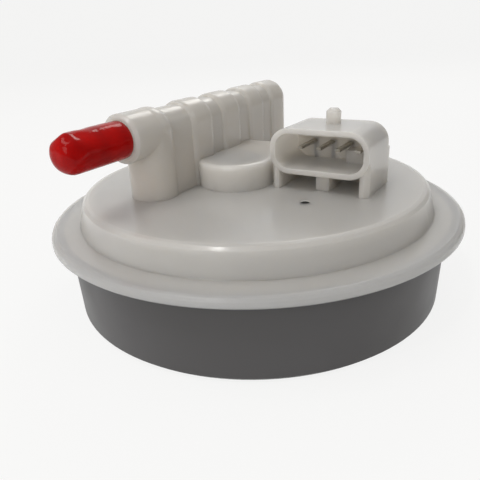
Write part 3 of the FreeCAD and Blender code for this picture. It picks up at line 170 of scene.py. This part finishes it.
def paperFinish():
    # white to the camera and in reflections, a matt paper for the shadows
    paper = bpy.data.materials.new("palePaper")
    paper.use_nodes = True
    nodes = paper.node_tree.nodes
    links = paper.node_tree.links
    nodes.clear()
    output = nodes.new("ShaderNodeOutputMaterial")
    mix = nodes.new("ShaderNodeMixShader")
    matt = nodes.new("ShaderNodeBsdfDiffuse")
    matt.inputs["Color"].default_value = floorSettings["colour"]
    glow = nodes.new("ShaderNodeEmission")
    glow.inputs["Color"].default_value = floorSettings["shown"]
    path = nodes.new("ShaderNodeLightPath")
    seen = nodes.new("ShaderNodeMath")
    seen.operation = "MAXIMUM"
    share = nodes.new("ShaderNodeMath")
    share.operation = "MULTIPLY"
    share.inputs[1].default_value = floorSettings["shownShare"]
    links.new(path.outputs["Is Camera Ray"], seen.inputs[0])
    links.new(path.outputs["Is Glossy Ray"], seen.inputs[1])
    links.new(seen.outputs["Value"], share.inputs[0])
    links.new(share.outputs["Value"], mix.inputs["Fac"])
    links.new(matt.outputs["BSDF"], mix.inputs[1])
    links.new(glow.outputs["Emission"], mix.inputs[2])
    links.new(mix.outputs["Shader"], output.inputs["Surface"])
    return paper


def layFloor():
    deselectAll()
    look = floorSettings
    low = cadBox[0][2] - look["drop"]
    bpy.ops.mesh.primitive_plane_add(size=look["width"], location=(0, 0, low))
    floor = bpy.context.object
    floor.name = "floor"
    settle(floor)
    bpy.ops.object.mode_set(mode="EDIT")
    selectEdges(floor, lambda edge: all(corner.co.y > 0 for corner in edge.verts))
    bow = math.radians(90 / look["sweepSteps"])
    for step in range(look["sweepSteps"]):  # the paper curves up behind the object
        rise = look["sweepRadius"] * (math.cos(step * bow) - math.cos((step + 1) * bow))
        run = look["sweepRadius"] * (math.sin((step + 1) * bow) - math.sin(step * bow))
        bpy.ops.mesh.extrude_region_move(TRANSFORM_OT_translate={"value": (0, run, rise)})
    bpy.ops.mesh.extrude_region_move(TRANSFORM_OT_translate={"value": (0, 0, look["wallHeight"])})
    bpy.ops.object.mode_set(mode="OBJECT")
    floor.rotation_euler = (0, 0, math.radians(viewSettings["turn"][2]))
    settle(floor)
    bpy.ops.object.shade_smooth()
    floor.data.materials.append(paperFinish())


lightSettings = {
    "skyShown": (0.955, 0.955, 0.95, 1.0),
    "skyLight": (1.0, 0.975, 0.945, 1.0),
    "skyFrom": (-0.52, -0.30, 0.80),
    "skyDim": 0.18,
    "skyBright": 0.53,
    "lamps": [
        {"name": "ceilingLamp", "at": (-0.16, -0.26, 0.75), "size": 0.3, "watts": 0.9,
         "colour": (1.0, 0.985, 0.96)},
        {"name": "frontLamp", "at": (0.08, -0.80, 0.34), "size": 0.5, "watts": 1.6,
         "colour": (1.0, 0.985, 0.96)},
        {"name": "glintLamp", "at": (-0.02, -0.34, 0.56), "size": 0.025, "watts": 0.35,
         "colour": (1.0, 0.99, 0.97)},
        {"name": "backLamp", "at": (-0.20, 0.60, 0.55), "size": 0.3, "watts": 0.8,
         "colour": (1.0, 0.985, 0.96)},
    ],
}


def softSky(nodes, links):
    # the room is brighter above and on the side of the window
    look = lightSettings
    soft = nodes.new("ShaderNodeBackground")
    soft.inputs["Color"].default_value = look["skyLight"]
    direction = nodes.new("ShaderNodeTexCoord").outputs["Generated"]
    facing = nodes.new("ShaderNodeVectorMath")
    facing.operation = "DOT_PRODUCT"
    facing.inputs[1].default_value = look["skyFrom"]
    links.new(direction, facing.inputs[0])
    strength = nodes.new("ShaderNodeMapRange")
    strength.inputs["From Min"].default_value = -1.0
    strength.inputs["From Max"].default_value = 1.0
    strength.inputs["To Min"].default_value = look["skyDim"]
    strength.inputs["To Max"].default_value = look["skyBright"]
    links.new(facing.outputs["Value"], strength.inputs["Value"])
    links.new(strength.outputs["Result"], soft.inputs["Strength"])
    return soft


def lightTheRoom():
    world = bpy.context.scene.world or bpy.data.worlds.new("room")
    bpy.context.scene.world = world
    world.use_nodes = True
    nodes = world.node_tree.nodes
    links = world.node_tree.links
    nodes.clear()
    output = nodes.new("ShaderNodeOutputWorld")
    mix = nodes.new("ShaderNodeMixShader")
    soft = softSky(nodes, links)
    shown = nodes.new("ShaderNodeBackground")
    shown.inputs["Color"].default_value = lightSettings["skyShown"]
    path = nodes.new("ShaderNodeLightPath")
    links.new(path.outputs["Is Camera Ray"], mix.inputs["Fac"])
    links.new(soft.outputs["Background"], mix.inputs[1])
    links.new(shown.outputs["Background"], mix.inputs[2])
    links.new(mix.outputs["Shader"], output.inputs["Surface"])
    for lamp in lightSettings["lamps"]:
        light = bpy.data.lights.new(lamp["name"], "AREA")
        light.shape = "DISK"
        light.size = lamp["size"]
        light.energy = lamp["watts"]
        light.color = lamp["colour"]
        holder = bpy.data.objects.new(lamp["name"], light)
        holder.location = lamp["at"]
        holder.rotation_euler = (-Vector(lamp["at"])).to_track_quat("-Z", "Y").to_euler()
        bpy.context.scene.collection.objects.link(holder)


placeCamera()
layFloor()
lightTheRoom()
bpy.context.scene.view_settings.view_transform = "Standard"
print("camera, floor and light are set")


# Finishes. Each one reads Object coordinates, in metres.

class FinishBench:  # the nodes of one material while it is being made
    edgeSamples = 6

    def __init__(self, name):
        self.height = None  # the normal so far, once edges or bumps are on
        self.material = bpy.data.materials.new(name)
        self.material.use_nodes = True
        self.nodes = self.material.node_tree.nodes
        self.links = self.material.node_tree.links
        self.nodes.clear()
        self.shader = self.nodes.new("ShaderNodeBsdfPrincipled")
        output = self.nodes.new("ShaderNodeOutputMaterial")
        self.links.new(self.shader.outputs["BSDF"], output.inputs["Surface"])
        self.place = self.nodes.new("ShaderNodeTexCoord").outputs["Object"]

    def softEdges(self, radius):
        bevel = self.nodes.new("ShaderNodeBevel")
        bevel.samples = self.edgeSamples
        bevel.inputs["Radius"].default_value = radius
        self.height = bevel.outputs["Normal"]

    def put(self, **sockets):
        for name, value in sockets.items():
            self.shader.inputs[name.replace("_", " ")].default_value = value

    def stretched(self, scale):
        mapping = self.nodes.new("ShaderNodeMapping")
        mapping.inputs["Scale"].default_value = scale
        self.links.new(self.place, mapping.inputs["Vector"])
        return mapping.outputs["Vector"]

    def noise(self, scale, detail=3.0, rough=0.5, where=None):
        noise = self.nodes.new("ShaderNodeTexNoise")
        noise.inputs["Scale"].default_value = scale
        noise.inputs["Detail"].default_value = detail
        noise.inputs["Roughness"].default_value = rough
        self.links.new(where or self.place, noise.inputs["Vector"])
        return noise.outputs["Fac"]

    def wave(self, scale, direction):
        wave = self.nodes.new("ShaderNodeTexWave")
        wave.wave_type = "BANDS"
        wave.bands_direction = direction
        wave.wave_profile = "SIN"
        wave.inputs["Scale"].default_value = scale
        self.links.new(self.place, wave.inputs["Vector"])
        return wave.outputs["Fac"]

    def spread(self, value, low, high, fromLow=0.3, fromHigh=0.7):
        spread = self.nodes.new("ShaderNodeMapRange")
        spread.inputs["From Min"].default_value = fromLow
        spread.inputs["From Max"].default_value = fromHigh
        spread.inputs["To Min"].default_value = low
        spread.inputs["To Max"].default_value = high
        self.links.new(value, spread.inputs["Value"])
        return spread.outputs["Result"]

    def blend(self, value, first, second):
        mix = self.nodes.new("ShaderNodeMix")
        mix.data_type = "RGBA"
        mix.inputs[6].default_value = (*first, 1.0)  # sockets 6, 7 and output 2 are the colour ones
        mix.inputs[7].default_value = (*second, 1.0)
        self.links.new(value, mix.inputs[0])
        return mix.outputs[2]

    def colour(self, socket):
        self.links.new(socket, self.shader.inputs["Base Color"])

    def roughness(self, socket):
        self.links.new(socket, self.shader.inputs["Roughness"])

    def bump(self, value, strength, distance):
        bump = self.nodes.new("ShaderNodeBump")
        bump.inputs["Strength"].default_value = strength
        bump.inputs["Distance"].default_value = distance
        self.links.new(value, bump.inputs["Height"])
        if self.height:
            self.links.new(self.height, bump.inputs["Normal"])
        self.height = bump.outputs["Normal"]
        self.links.new(self.height, self.shader.inputs["Normal"])


plasticShared = {
    "cloudDetail": 1.0,
    "wearDetail": 2.0,
    "grainDetail": 3.0,
    "waveDetail": 1.0,
    "noiseLow": 0.2,
    "noiseHigh": 0.8,
    "grainDepth": 0.0002,
    "waveDepth": 0.001,
    "depth": 0.0,  # how much light goes through the skin
    "reach": (0.003, 0.0028, 0.0026),
    "shine": 0.5,
}


def mouldedPlastic(name, ownLook):
    look = {**plasticShared, **ownLook}
    bench = FinishBench(name)  # cloudy colour, worn gloss and a fine mould grain
    if "edge" in look:
        bench.softEdges(look["edge"])
    low, high = look["noiseLow"], look["noiseHigh"]
    cloud = bench.spread(bench.noise(look["cloudScale"], look["cloudDetail"]), 0.0, 1.0, low, high)
    bench.colour(bench.blend(cloud, look["colour"], look["cloud"]))
    wear = bench.noise(look["wearScale"], look["wearDetail"])
    bench.roughness(bench.spread(wear, look["glossy"], look["dull"], low, high))
    bench.bump(bench.noise(look["grainScale"], look["grainDetail"]), look["grain"], look["grainDepth"])
    bench.bump(bench.noise(look["waveScale"], look["waveDetail"]), look["wave"], look["waveDepth"])
    bench.put(Subsurface_Weight=look["depth"], Subsurface_Radius=look["reach"], Subsurface_Scale=1.0,
              Specular_IOR_Level=look["shine"])
    return bench.material


metalShared = {
    "lineDetail": 3.0,
    "stainDetail": 4.0,
    "rough": 0.6,
    "cutDepth": 0.00005,
}


def drawnMetal(name, ownLook):
    look = {**metalShared, **ownLook}
    bench = FinishBench(name)  # fine lines along one way, dull spots and a faint stain
    lengthwise = bench.stretched(look["stretch"])
    lines = bench.noise(look["lineScale"], look["lineDetail"], look["rough"], lengthwise)
    stain = bench.spread(bench.noise(look["stainScale"], look["stainDetail"], look["rough"]), 0.0, 1.0)
    bench.colour(bench.blend(stain, look["colour"], look["stain"]))
    bench.roughness(bench.spread(lines, look["glossy"], look["dull"]))
    bench.bump(lines, look["cut"], look["cutDepth"])
    bench.put(Metallic=1.0)
    return bench.material


plasticLooks = {
    "natural_acetal": {
        "colour": (0.655, 0.630, 0.592), "cloud": (0.610, 0.584, 0.545), "cloudScale": 26.0,
        "wearScale": 60.0, "glossy": 0.17, "dull": 0.26, "grainScale": 260.0, "grain": 0.02,
        "waveScale": 45.0, "wave": 0.10, "depth": 1.0, "reach": (0.0140, 0.0132, 0.0120), "shine": 0.45,
        "edge": 0.0005,
    },
    "grey_polymer": {
        "colour": (0.108, 0.106, 0.110), "cloud": (0.080, 0.078, 0.078), "cloudScale": 18.0,
        "wearScale": 90.0, "glossy": 0.34, "dull": 0.46, "grainScale": 2200.0, "grain": 0.10,
        "waveScale": 30.0, "wave": 0.10, "shine": 0.3, "edge": 0.0004,
    },
    "black_polymer": {
        "colour": (0.022, 0.022, 0.023), "cloud": (0.032, 0.031, 0.030), "cloudScale": 80.0,
        "wearScale": 160.0, "glossy": 0.35, "dull": 0.55, "grainScale": 3000.0, "grain": 0.15,
        "waveScale": 90.0, "wave": 0.08,
    },
    "black_rubber": {
        "colour": (0.014, 0.014, 0.014), "cloud": (0.026, 0.025, 0.024), "cloudScale": 200.0,
        "wearScale": 300.0, "glossy": 0.55, "dull": 0.8, "grainScale": 4000.0, "grain": 0.2,
        "waveScale": 120.0, "wave": 0.10, "shine": 0.35,
    },
    "carbon": {
        "colour": (0.035, 0.035, 0.036), "cloud": (0.075, 0.073, 0.070), "cloudScale": 900.0,
        "wearScale": 500.0, "glossy": 0.35, "dull": 0.6, "grainScale": 6000.0, "grain": 0.3,
        "waveScale": 200.0, "wave": 0.05,
    },
    "ferrite": {
        "colour": (0.045, 0.045, 0.048), "cloud": (0.075, 0.072, 0.070), "cloudScale": 400.0,
        "wearScale": 300.0, "glossy": 0.4, "dull": 0.7, "grainScale": 3500.0, "grain": 0.35,
        "waveScale": 100.0, "wave": 0.1,
    },
    "float_foam": {
        "colour": (0.030, 0.030, 0.031), "cloud": (0.060, 0.058, 0.056), "cloudScale": 1200.0,
        "wearScale": 700.0, "glossy": 0.7, "dull": 0.9, "grainScale": 2600.0, "grain": 0.8,
        "waveScale": 160.0, "wave": 0.15, "shine": 0.25,
    },
    "red_insulation": {
        "colour": (0.36, 0.020, 0.016), "cloud": (0.28, 0.016, 0.014), "cloudScale": 150.0,
        "wearScale": 300.0, "glossy": 0.32, "dull": 0.45, "grainScale": 3000.0, "grain": 0.08,
        "waveScale": 200.0, "wave": 0.1,
    },
    "black_insulation": {
        "colour": (0.020, 0.020, 0.020), "cloud": (0.030, 0.029, 0.028), "cloudScale": 150.0,
        "wearScale": 300.0, "glossy": 0.32, "dull": 0.45, "grainScale": 3000.0, "grain": 0.08,
        "waveScale": 200.0, "wave": 0.1,
    },
}

metalLooks = {
    "tinned_brass": {
        "colour": (0.42, 0.405, 0.375), "stain": (0.30, 0.27, 0.22), "stainScale": 400.0,
        "lineScale": 800.0, "stretch": (1.0, 0.05, 0.05), "glossy": 0.28, "dull": 0.5, "cut": 0.25,
    },
    "brass": {
        "colour": (0.62, 0.44, 0.17), "stain": (0.45, 0.30, 0.11), "stainScale": 300.0,
        "lineScale": 900.0, "stretch": (1.0, 0.05, 1.0), "glossy": 0.28, "dull": 0.4, "cut": 0.2,
    },
    "plated_steel": {
        "colour": (0.55, 0.55, 0.54), "stain": (0.44, 0.42, 0.39), "stainScale": 160.0,
        "lineScale": 700.0, "stretch": (1.0, 0.08, 1.0), "glossy": 0.28, "dull": 0.38, "cut": 0.2,
    },
    "spring_steel": {
        "colour": (0.42, 0.42, 0.43), "stain": (0.30, 0.29, 0.28), "stainScale": 500.0,
        "lineScale": 1500.0, "stretch": (1.0, 1.0, 0.1), "glossy": 0.28, "dull": 0.36, "cut": 0.15,
    },
    "bronze": {
        "colour": (0.42, 0.26, 0.11), "stain": (0.30, 0.18, 0.08), "stainScale": 900.0,
        "lineScale": 2500.0, "stretch": (1.0, 1.0, 1.0), "glossy": 0.35, "dull": 0.6, "cut": 0.4,
    },
    "core_steel": {
        "colour": (0.33, 0.33, 0.34), "stain": (0.24, 0.22, 0.21), "stainScale": 300.0,
        "lineScale": 1600.0, "stretch": (1.0, 0.02, 0.02), "glossy": 0.3, "dull": 0.5, "cut": 0.6,
    },
    "copper": {
        "colour": (0.60, 0.29, 0.16), "stain": (0.42, 0.18, 0.10), "stainScale": 500.0,
        "lineScale": 1200.0, "stretch": (1.0, 0.05, 0.05), "glossy": 0.28, "dull": 0.42, "cut": 0.3,
    },
}


def woundWire(name):
    # enamelled copper wire laid side by side along the armature, with painted shade in the gaps between the
    # wires
    look = {
        "colour": (0.50, 0.17, 0.06), "gapShade": (0.12, 0.035, 0.015), "pitch": 900.0, "groove": 0.8,
        "grooveDepth": 0.0002, "wearScale": 300.0, "glossy": 0.28, "dull": 0.36, "metal": 0.85,
        "enamel": 0.6, "enamelDull": 0.1,
    }
    bench = FinishBench(name)
    wires = bench.wave(look["pitch"], "DIAGONAL")
    # the darker gap colour is painted shade in the grooves between the wires
    bench.colour(bench.blend(wires, look["gapShade"], look["colour"]))
    bench.bump(wires, look["groove"], look["grooveDepth"])
    bench.roughness(bench.spread(bench.noise(look["wearScale"]), look["glossy"], look["dull"]))
    bench.put(Metallic=look["metal"], Coat_Weight=look["enamel"], Coat_Roughness=look["enamelDull"])
    return bench.material


def wovenStrainer(name):
    # fine woven filter cloth, with painted shade in the holes between the threads
    look = {
        "thread": (0.66, 0.65, 0.60), "hole": (0.26, 0.25, 0.22), "pitch": 700.0, "wearScale": 300.0,
        "glossy": 0.6, "dull": 0.85, "weave": 0.7, "weaveDepth": 0.0003, "fuzz": 0.2, "fuzzDull": 0.5,
    }
    bench = FinishBench(name)
    warp = bench.wave(look["pitch"], "X")
    weft = bench.wave(look["pitch"], "Y")
    crossing = bench.nodes.new("ShaderNodeMath")
    crossing.operation = "MAXIMUM"
    bench.links.new(warp, crossing.inputs[0])
    bench.links.new(weft, crossing.inputs[1])
    weave = crossing.outputs["Value"]
    # the darker hole colour is painted shade showing through the weave
    bench.colour(bench.blend(weave, look["hole"], look["thread"]))
    bench.roughness(bench.spread(bench.noise(look["wearScale"]), look["glossy"], look["dull"]))
    bench.bump(weave, look["weave"], look["weaveDepth"])
    bench.put(Sheen_Weight=look["fuzz"], Sheen_Roughness=look["fuzzDull"])
    return bench.material


def redVinyl(name):
    # glossy dipped vinyl, thicker and darker in random cloudy patches, with an uneven skin
    look = {
        "colour": (0.56, 0.002, 0.001), "deep": (0.34, 0.001, 0.001), "cloudScale": 120.0,
        "cloudDetail": 3.0, "wearScale": 260.0, "glossy": 0.06, "dull": 0.14, "skinScale": 300.0,
        "fineDetail": 2.0, "skin": 0.3, "skinDepth": 0.0006, "shine": 0.14,
    }
    bench = FinishBench(name)
    cloud = bench.spread(bench.noise(look["cloudScale"], look["cloudDetail"]), 0.0, 1.0)
    bench.colour(bench.blend(cloud, look["colour"], look["deep"]))
    wear = bench.noise(look["wearScale"], look["fineDetail"])
    bench.roughness(bench.spread(wear, look["glossy"], look["dull"]))
    bench.bump(bench.noise(look["skinScale"], look["fineDetail"]), look["skin"], look["skinDepth"])
    bench.put(Specular_IOR_Level=look["shine"])
    return bench.material


finishes = {}
for slotName, plasticLook in plasticLooks.items():
    finishes[slotName] = mouldedPlastic(slotName, plasticLook)
for slotName, metalLook in metalLooks.items():
    finishes[slotName] = drawnMetal(slotName, metalLook)
finishes["copper_wire"] = woundWire("copper_wire")
finishes["strainer_cloth"] = wovenStrainer("strainer_cloth")
finishes["red_vinyl"] = redVinyl("red_vinyl")


def dressCadNodes():
    for row in frame["record"]["subparts"]:
        piece = frame["nodes"][row["node"]]
        while len(piece.data.materials) < 1:
            piece.data.materials.append(None)
        for place in piece.material_slots:
            place.link = "OBJECT"
            place.material = finishes[row["material_slot"]]


dressCadNodes()
print("finishes are on", len(frame["nodes"]), "nodes")


# Vinyl cap on the outlet, with its mouth at the hub and a dented round end

capSettings = {
    "node": "outlet_cap",
    "sides": 64,
    "rings": 14,
    "slimmer": 0.00060,
    "wall": 0.00038,
    "hollow": 0.0186,
    "endRound": 0.0040,
    "endSteps": 8,
    "mouthRound": 0.00012,
    "mouthSegments": 2,
    "sharpAbove": 60,
    "tipInset": 0.12,
    "dentEdge": 2,
    "dentFall": 2.2,
    # each dent: how far along from the mouth, which way round in degrees, how deep and how wide
    "dents": [(0.0158, 62, 0.00050, 0.0026), (0.0184, 118, 0.00060, 0.0022), (0.0172, 250, 0.00045, 0.0030),
              (0.0118, 100, 0.00018, 0.0024), (0.0188, 10, 0.00055, 0.0024), (0.0070, 20, 0.00016, 0.0034),
              (0.0176, 84, -0.00022, 0.0012), (0.0190, 60, 0.00045, 0.0016), (0.0148, 140, 0.00030, 0.0022)],
}


def dentCap(cap, mouthY, axisX, axisZ, radius):
    look = capSettings
    for along, around, depth, width in look["dents"]:
        angle = math.radians(around)
        outward = Vector((math.cos(angle), 0, math.sin(angle)))
        middle = Vector((axisX, mouthY - along, axisZ)) + outward * radius
        for corner in cap.data.vertices:
            reach = (corner.co - middle).length / width
            if reach < look["dentEdge"]:
                corner.co -= outward * depth * math.exp(-look["dentFall"] * reach * reach)


def makeCap():
    look = capSettings
    low, high = (Vector(corner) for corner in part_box(look["node"]))
    middle = (low + high) / 2
    radius = (high.x - low.x) / 2 - look["slimmer"]

    def isTip(face):
        return looksAlong(face, 1, -1) and face.calc_center_median().y < low.y + shapeSettings["hair"]

    deselectAll()
    bpy.ops.mesh.primitive_cylinder_add(vertices=look["sides"], radius=radius, depth=high.y - low.y,
                                        location=middle, rotation=(math.radians(90), 0, 0))
    cap = bpy.context.object
    cap.name = "vinylCap"
    settle(cap)
    bpy.ops.object.mode_set(mode="EDIT")
    selectFaces(cap, lambda face: looksAlong(face, 1, 1))
    bpy.ops.mesh.inset(thickness=look["wall"])
    bpy.ops.mesh.extrude_region_move(TRANSFORM_OT_translate={"value": (0, -look["hollow"], 0)})
    selectFaces(cap, isTip)
    bpy.ops.mesh.bevel(offset=look["endRound"], segments=look["endSteps"], affect="EDGES")
    selectEdges(cap, lambda edge: edge.calc_length() > (high.y - low.y) / 2)
    bpy.ops.mesh.subdivide(number_cuts=look["rings"])
    selectFaces(cap, isTip)
    bpy.ops.mesh.inset(thickness=radius * look["tipInset"])
    bpy.ops.mesh.poke()
    bpy.ops.object.mode_set(mode="OBJECT")
    roundEdges(cap, look["mouthRound"], look["mouthSegments"], look["sharpAbove"])
    dentCap(cap, high.y, middle.x, middle.z, radius)
    smoothFaces()
    cap.data.materials.append(finishes["red_vinyl"])
    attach(cap, "outlet_cap")
    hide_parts(look["node"])


makeCap()
print("the vinyl cap is made")


# Dark rubber plug pressed into the blind hole of the plateau; its dark colour is painted shade, a dark piece
# standing in for the shadow inside the hole

holeShadeSettings = {
    "at": (0.0252, -0.0148),
    "top": 0.0105,
    "recess": 0.0002,
    "depth": 0.0034,
    "radius": 0.00132,
    "sides": 32,
    "dish": 0.00035,
    "rim": 0.35,
    "edge": 0.0001,
    "edgeSegments": 2,
    "sharpAbove": 30,
}


def makeHoleShadePlug():
    look = holeShadeSettings
    high = look["top"] - look["recess"]
    deselectAll()
    bpy.ops.mesh.primitive_cylinder_add(vertices=look["sides"], radius=look["radius"], depth=look["depth"],
                                        location=(*look["at"], high - look["depth"] / 2))
    shadePlug = bpy.context.object
    shadePlug.name = "holeShadePlug"
    settle(shadePlug)
    bpy.ops.object.mode_set(mode="EDIT")
    selectFaces(shadePlug, lambda face: looksAlong(face, 2, 1))
    bpy.ops.mesh.inset(thickness=look["radius"] * look["rim"])
    bpy.ops.transform.translate(value=(0, 0, -look["dish"]))
    bpy.ops.object.mode_set(mode="OBJECT")
    roundEdges(shadePlug, look["edge"], look["edgeSegments"], look["sharpAbove"])
    smoothFaces()
    # the black rubber is painted shade where the hole is dark
    shadePlug.data.materials.append(finishes["black_rubber"])
    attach(shadePlug, "module")


makeHoleShadePlug()
print("the seal in the hole is made")


# Strainer bag: two cloth faces, swollen apart and welded flat round the edge

bagSettings = {
    "node": "strainer_bag",
    "across": 44,
    "along": 34,
    "weld": 0.0022,
    "cloth": 0.0004,
    "crown": 2.6,
    "ripple": 0.00012,
    "rippleWaves": (5, 4),
    "fullness": 0.55,
    "weldRound": 0.3,
    "sharpAbove": 60,
    "fill": 0.5,
}


def makeStrainerBag():
    look = bagSettings
    low, high = (Vector(corner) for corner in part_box(look["node"]))
    middle = (low + high) / 2
    half = (high - low) / 2
    deselectAll()
    bpy.ops.mesh.primitive_grid_add(x_subdivisions=look["across"], y_subdivisions=look["along"], size=1,
                                    location=middle)
    bag = bpy.context.object
    bag.name = "strainerBag"
    bag.scale = (half.x * 2, half.y * 2, 1)
    settle(bag)
    skin = bag.modifiers.new("cloth", "SOLIDIFY")
    skin.thickness = look["cloth"]
    skin.offset = 0
    bpy.ops.object.modifier_apply(modifier=skin.name)
    swell = half.z - look["cloth"] / 2
    lengthwise, crosswise = look["rippleWaves"]
    for corner in bag.data.vertices:
        u = (corner.co.x - middle.x) / (half.x - look["weld"])
        v = (corner.co.y - middle.y) / (half.y - look["weld"])
        if abs(u) >= 1 or abs(v) >= 1:
            continue
        full = (1 - abs(u) ** look["crown"]) * (1 - abs(v) ** look["crown"])
        side = 1 if corner.co.z > middle.z else -1
        wave = math.sin(u * lengthwise * math.pi) * math.cos(v * crosswise * math.pi)
        lift = swell * full ** look["fullness"] - look["ripple"] * (1 + wave) * full
        corner.co.z += side * max(lift, 0)
    roundEdges(bag, look["cloth"] * look["weldRound"], 1, look["sharpAbove"])
    smoothFaces()
    bag.data.materials.append(finishes["strainer_cloth"])
    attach(bag, "module")
    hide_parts(look["node"])


makeStrainerBag()
print("the strainer bag is made")


# Coils that close up when their valve lifts. The end that would stand still and the end that would go with
# the valve are worked out, but nothing moves them.

coilSettings = {
    "steps": 24,
    "wireSides": 10,
    "grip": 0.00035,
    "coils": [
        {"name": "checkCoil", "node": "check_spring", "valve": "check_valve", "along": 0, "wire": 0.0002,
         "turns": 4},
        {"name": "regulatorCoil", "node": "regulator_spring", "valve": "regulator_valve", "along": 2,
         "wire": 0.00035, "turns": 6},
    ],
}


def makeCoil(look):
    low, high = (Vector(corner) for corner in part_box(look["node"]))
    middle = (low + high) / 2
    along = look["along"]
    across = 1 if along == 0 else 0
    length = high[along] - low[along]
    reach = (high[across] - low[across]) / 2 - look["wire"]
    deselectAll()
    bpy.ops.mesh.primitive_circle_add(vertices=coilSettings["wireSides"], radius=look["wire"],
                                      location=(reach, 0, 0), rotation=(math.radians(90), 0, 0))
    coil = bpy.context.object
    coil.name = look["name"]
    settle(coil)
    winding = coil.modifiers.new("winding", "SCREW")
    winding.axis = "Z"
    winding.steps = coilSettings["steps"]
    winding.render_steps = coilSettings["steps"]
    winding.iterations = look["turns"]
    winding.screw_offset = (length - 2 * look["wire"]) / look["turns"]
    bpy.ops.object.modifier_apply(modifier=winding.name)
    bpy.ops.object.mode_set(mode="EDIT")
    bpy.ops.mesh.select_all(action="SELECT")
    bpy.ops.mesh.fill_holes(sides=0)
    bpy.ops.mesh.normals_make_consistent(inside=False)
    bpy.ops.mesh.select_all(action="SELECT")
    bpy.ops.transform.translate(value=(0, 0, look["wire"] - length / 2))
    bpy.ops.object.mode_set(mode="OBJECT")
    if along == 0:
        coil.rotation_euler = (0, math.radians(90), 0)
    coil.location = middle
    settle(coil)
    smoothFaces()
    coil.data.materials.append(finishes["spring_steel"])
    still, moving = middle.copy(), middle.copy()
    still[along] = low[along] + coilSettings["grip"]
    moving[along] = high[along] - coilSettings["grip"]
    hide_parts(look["node"])
    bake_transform(coil)


for coilLook in coilSettings["coils"]:
    makeCoil(coilLook)
print("the springs of both valves are wound")
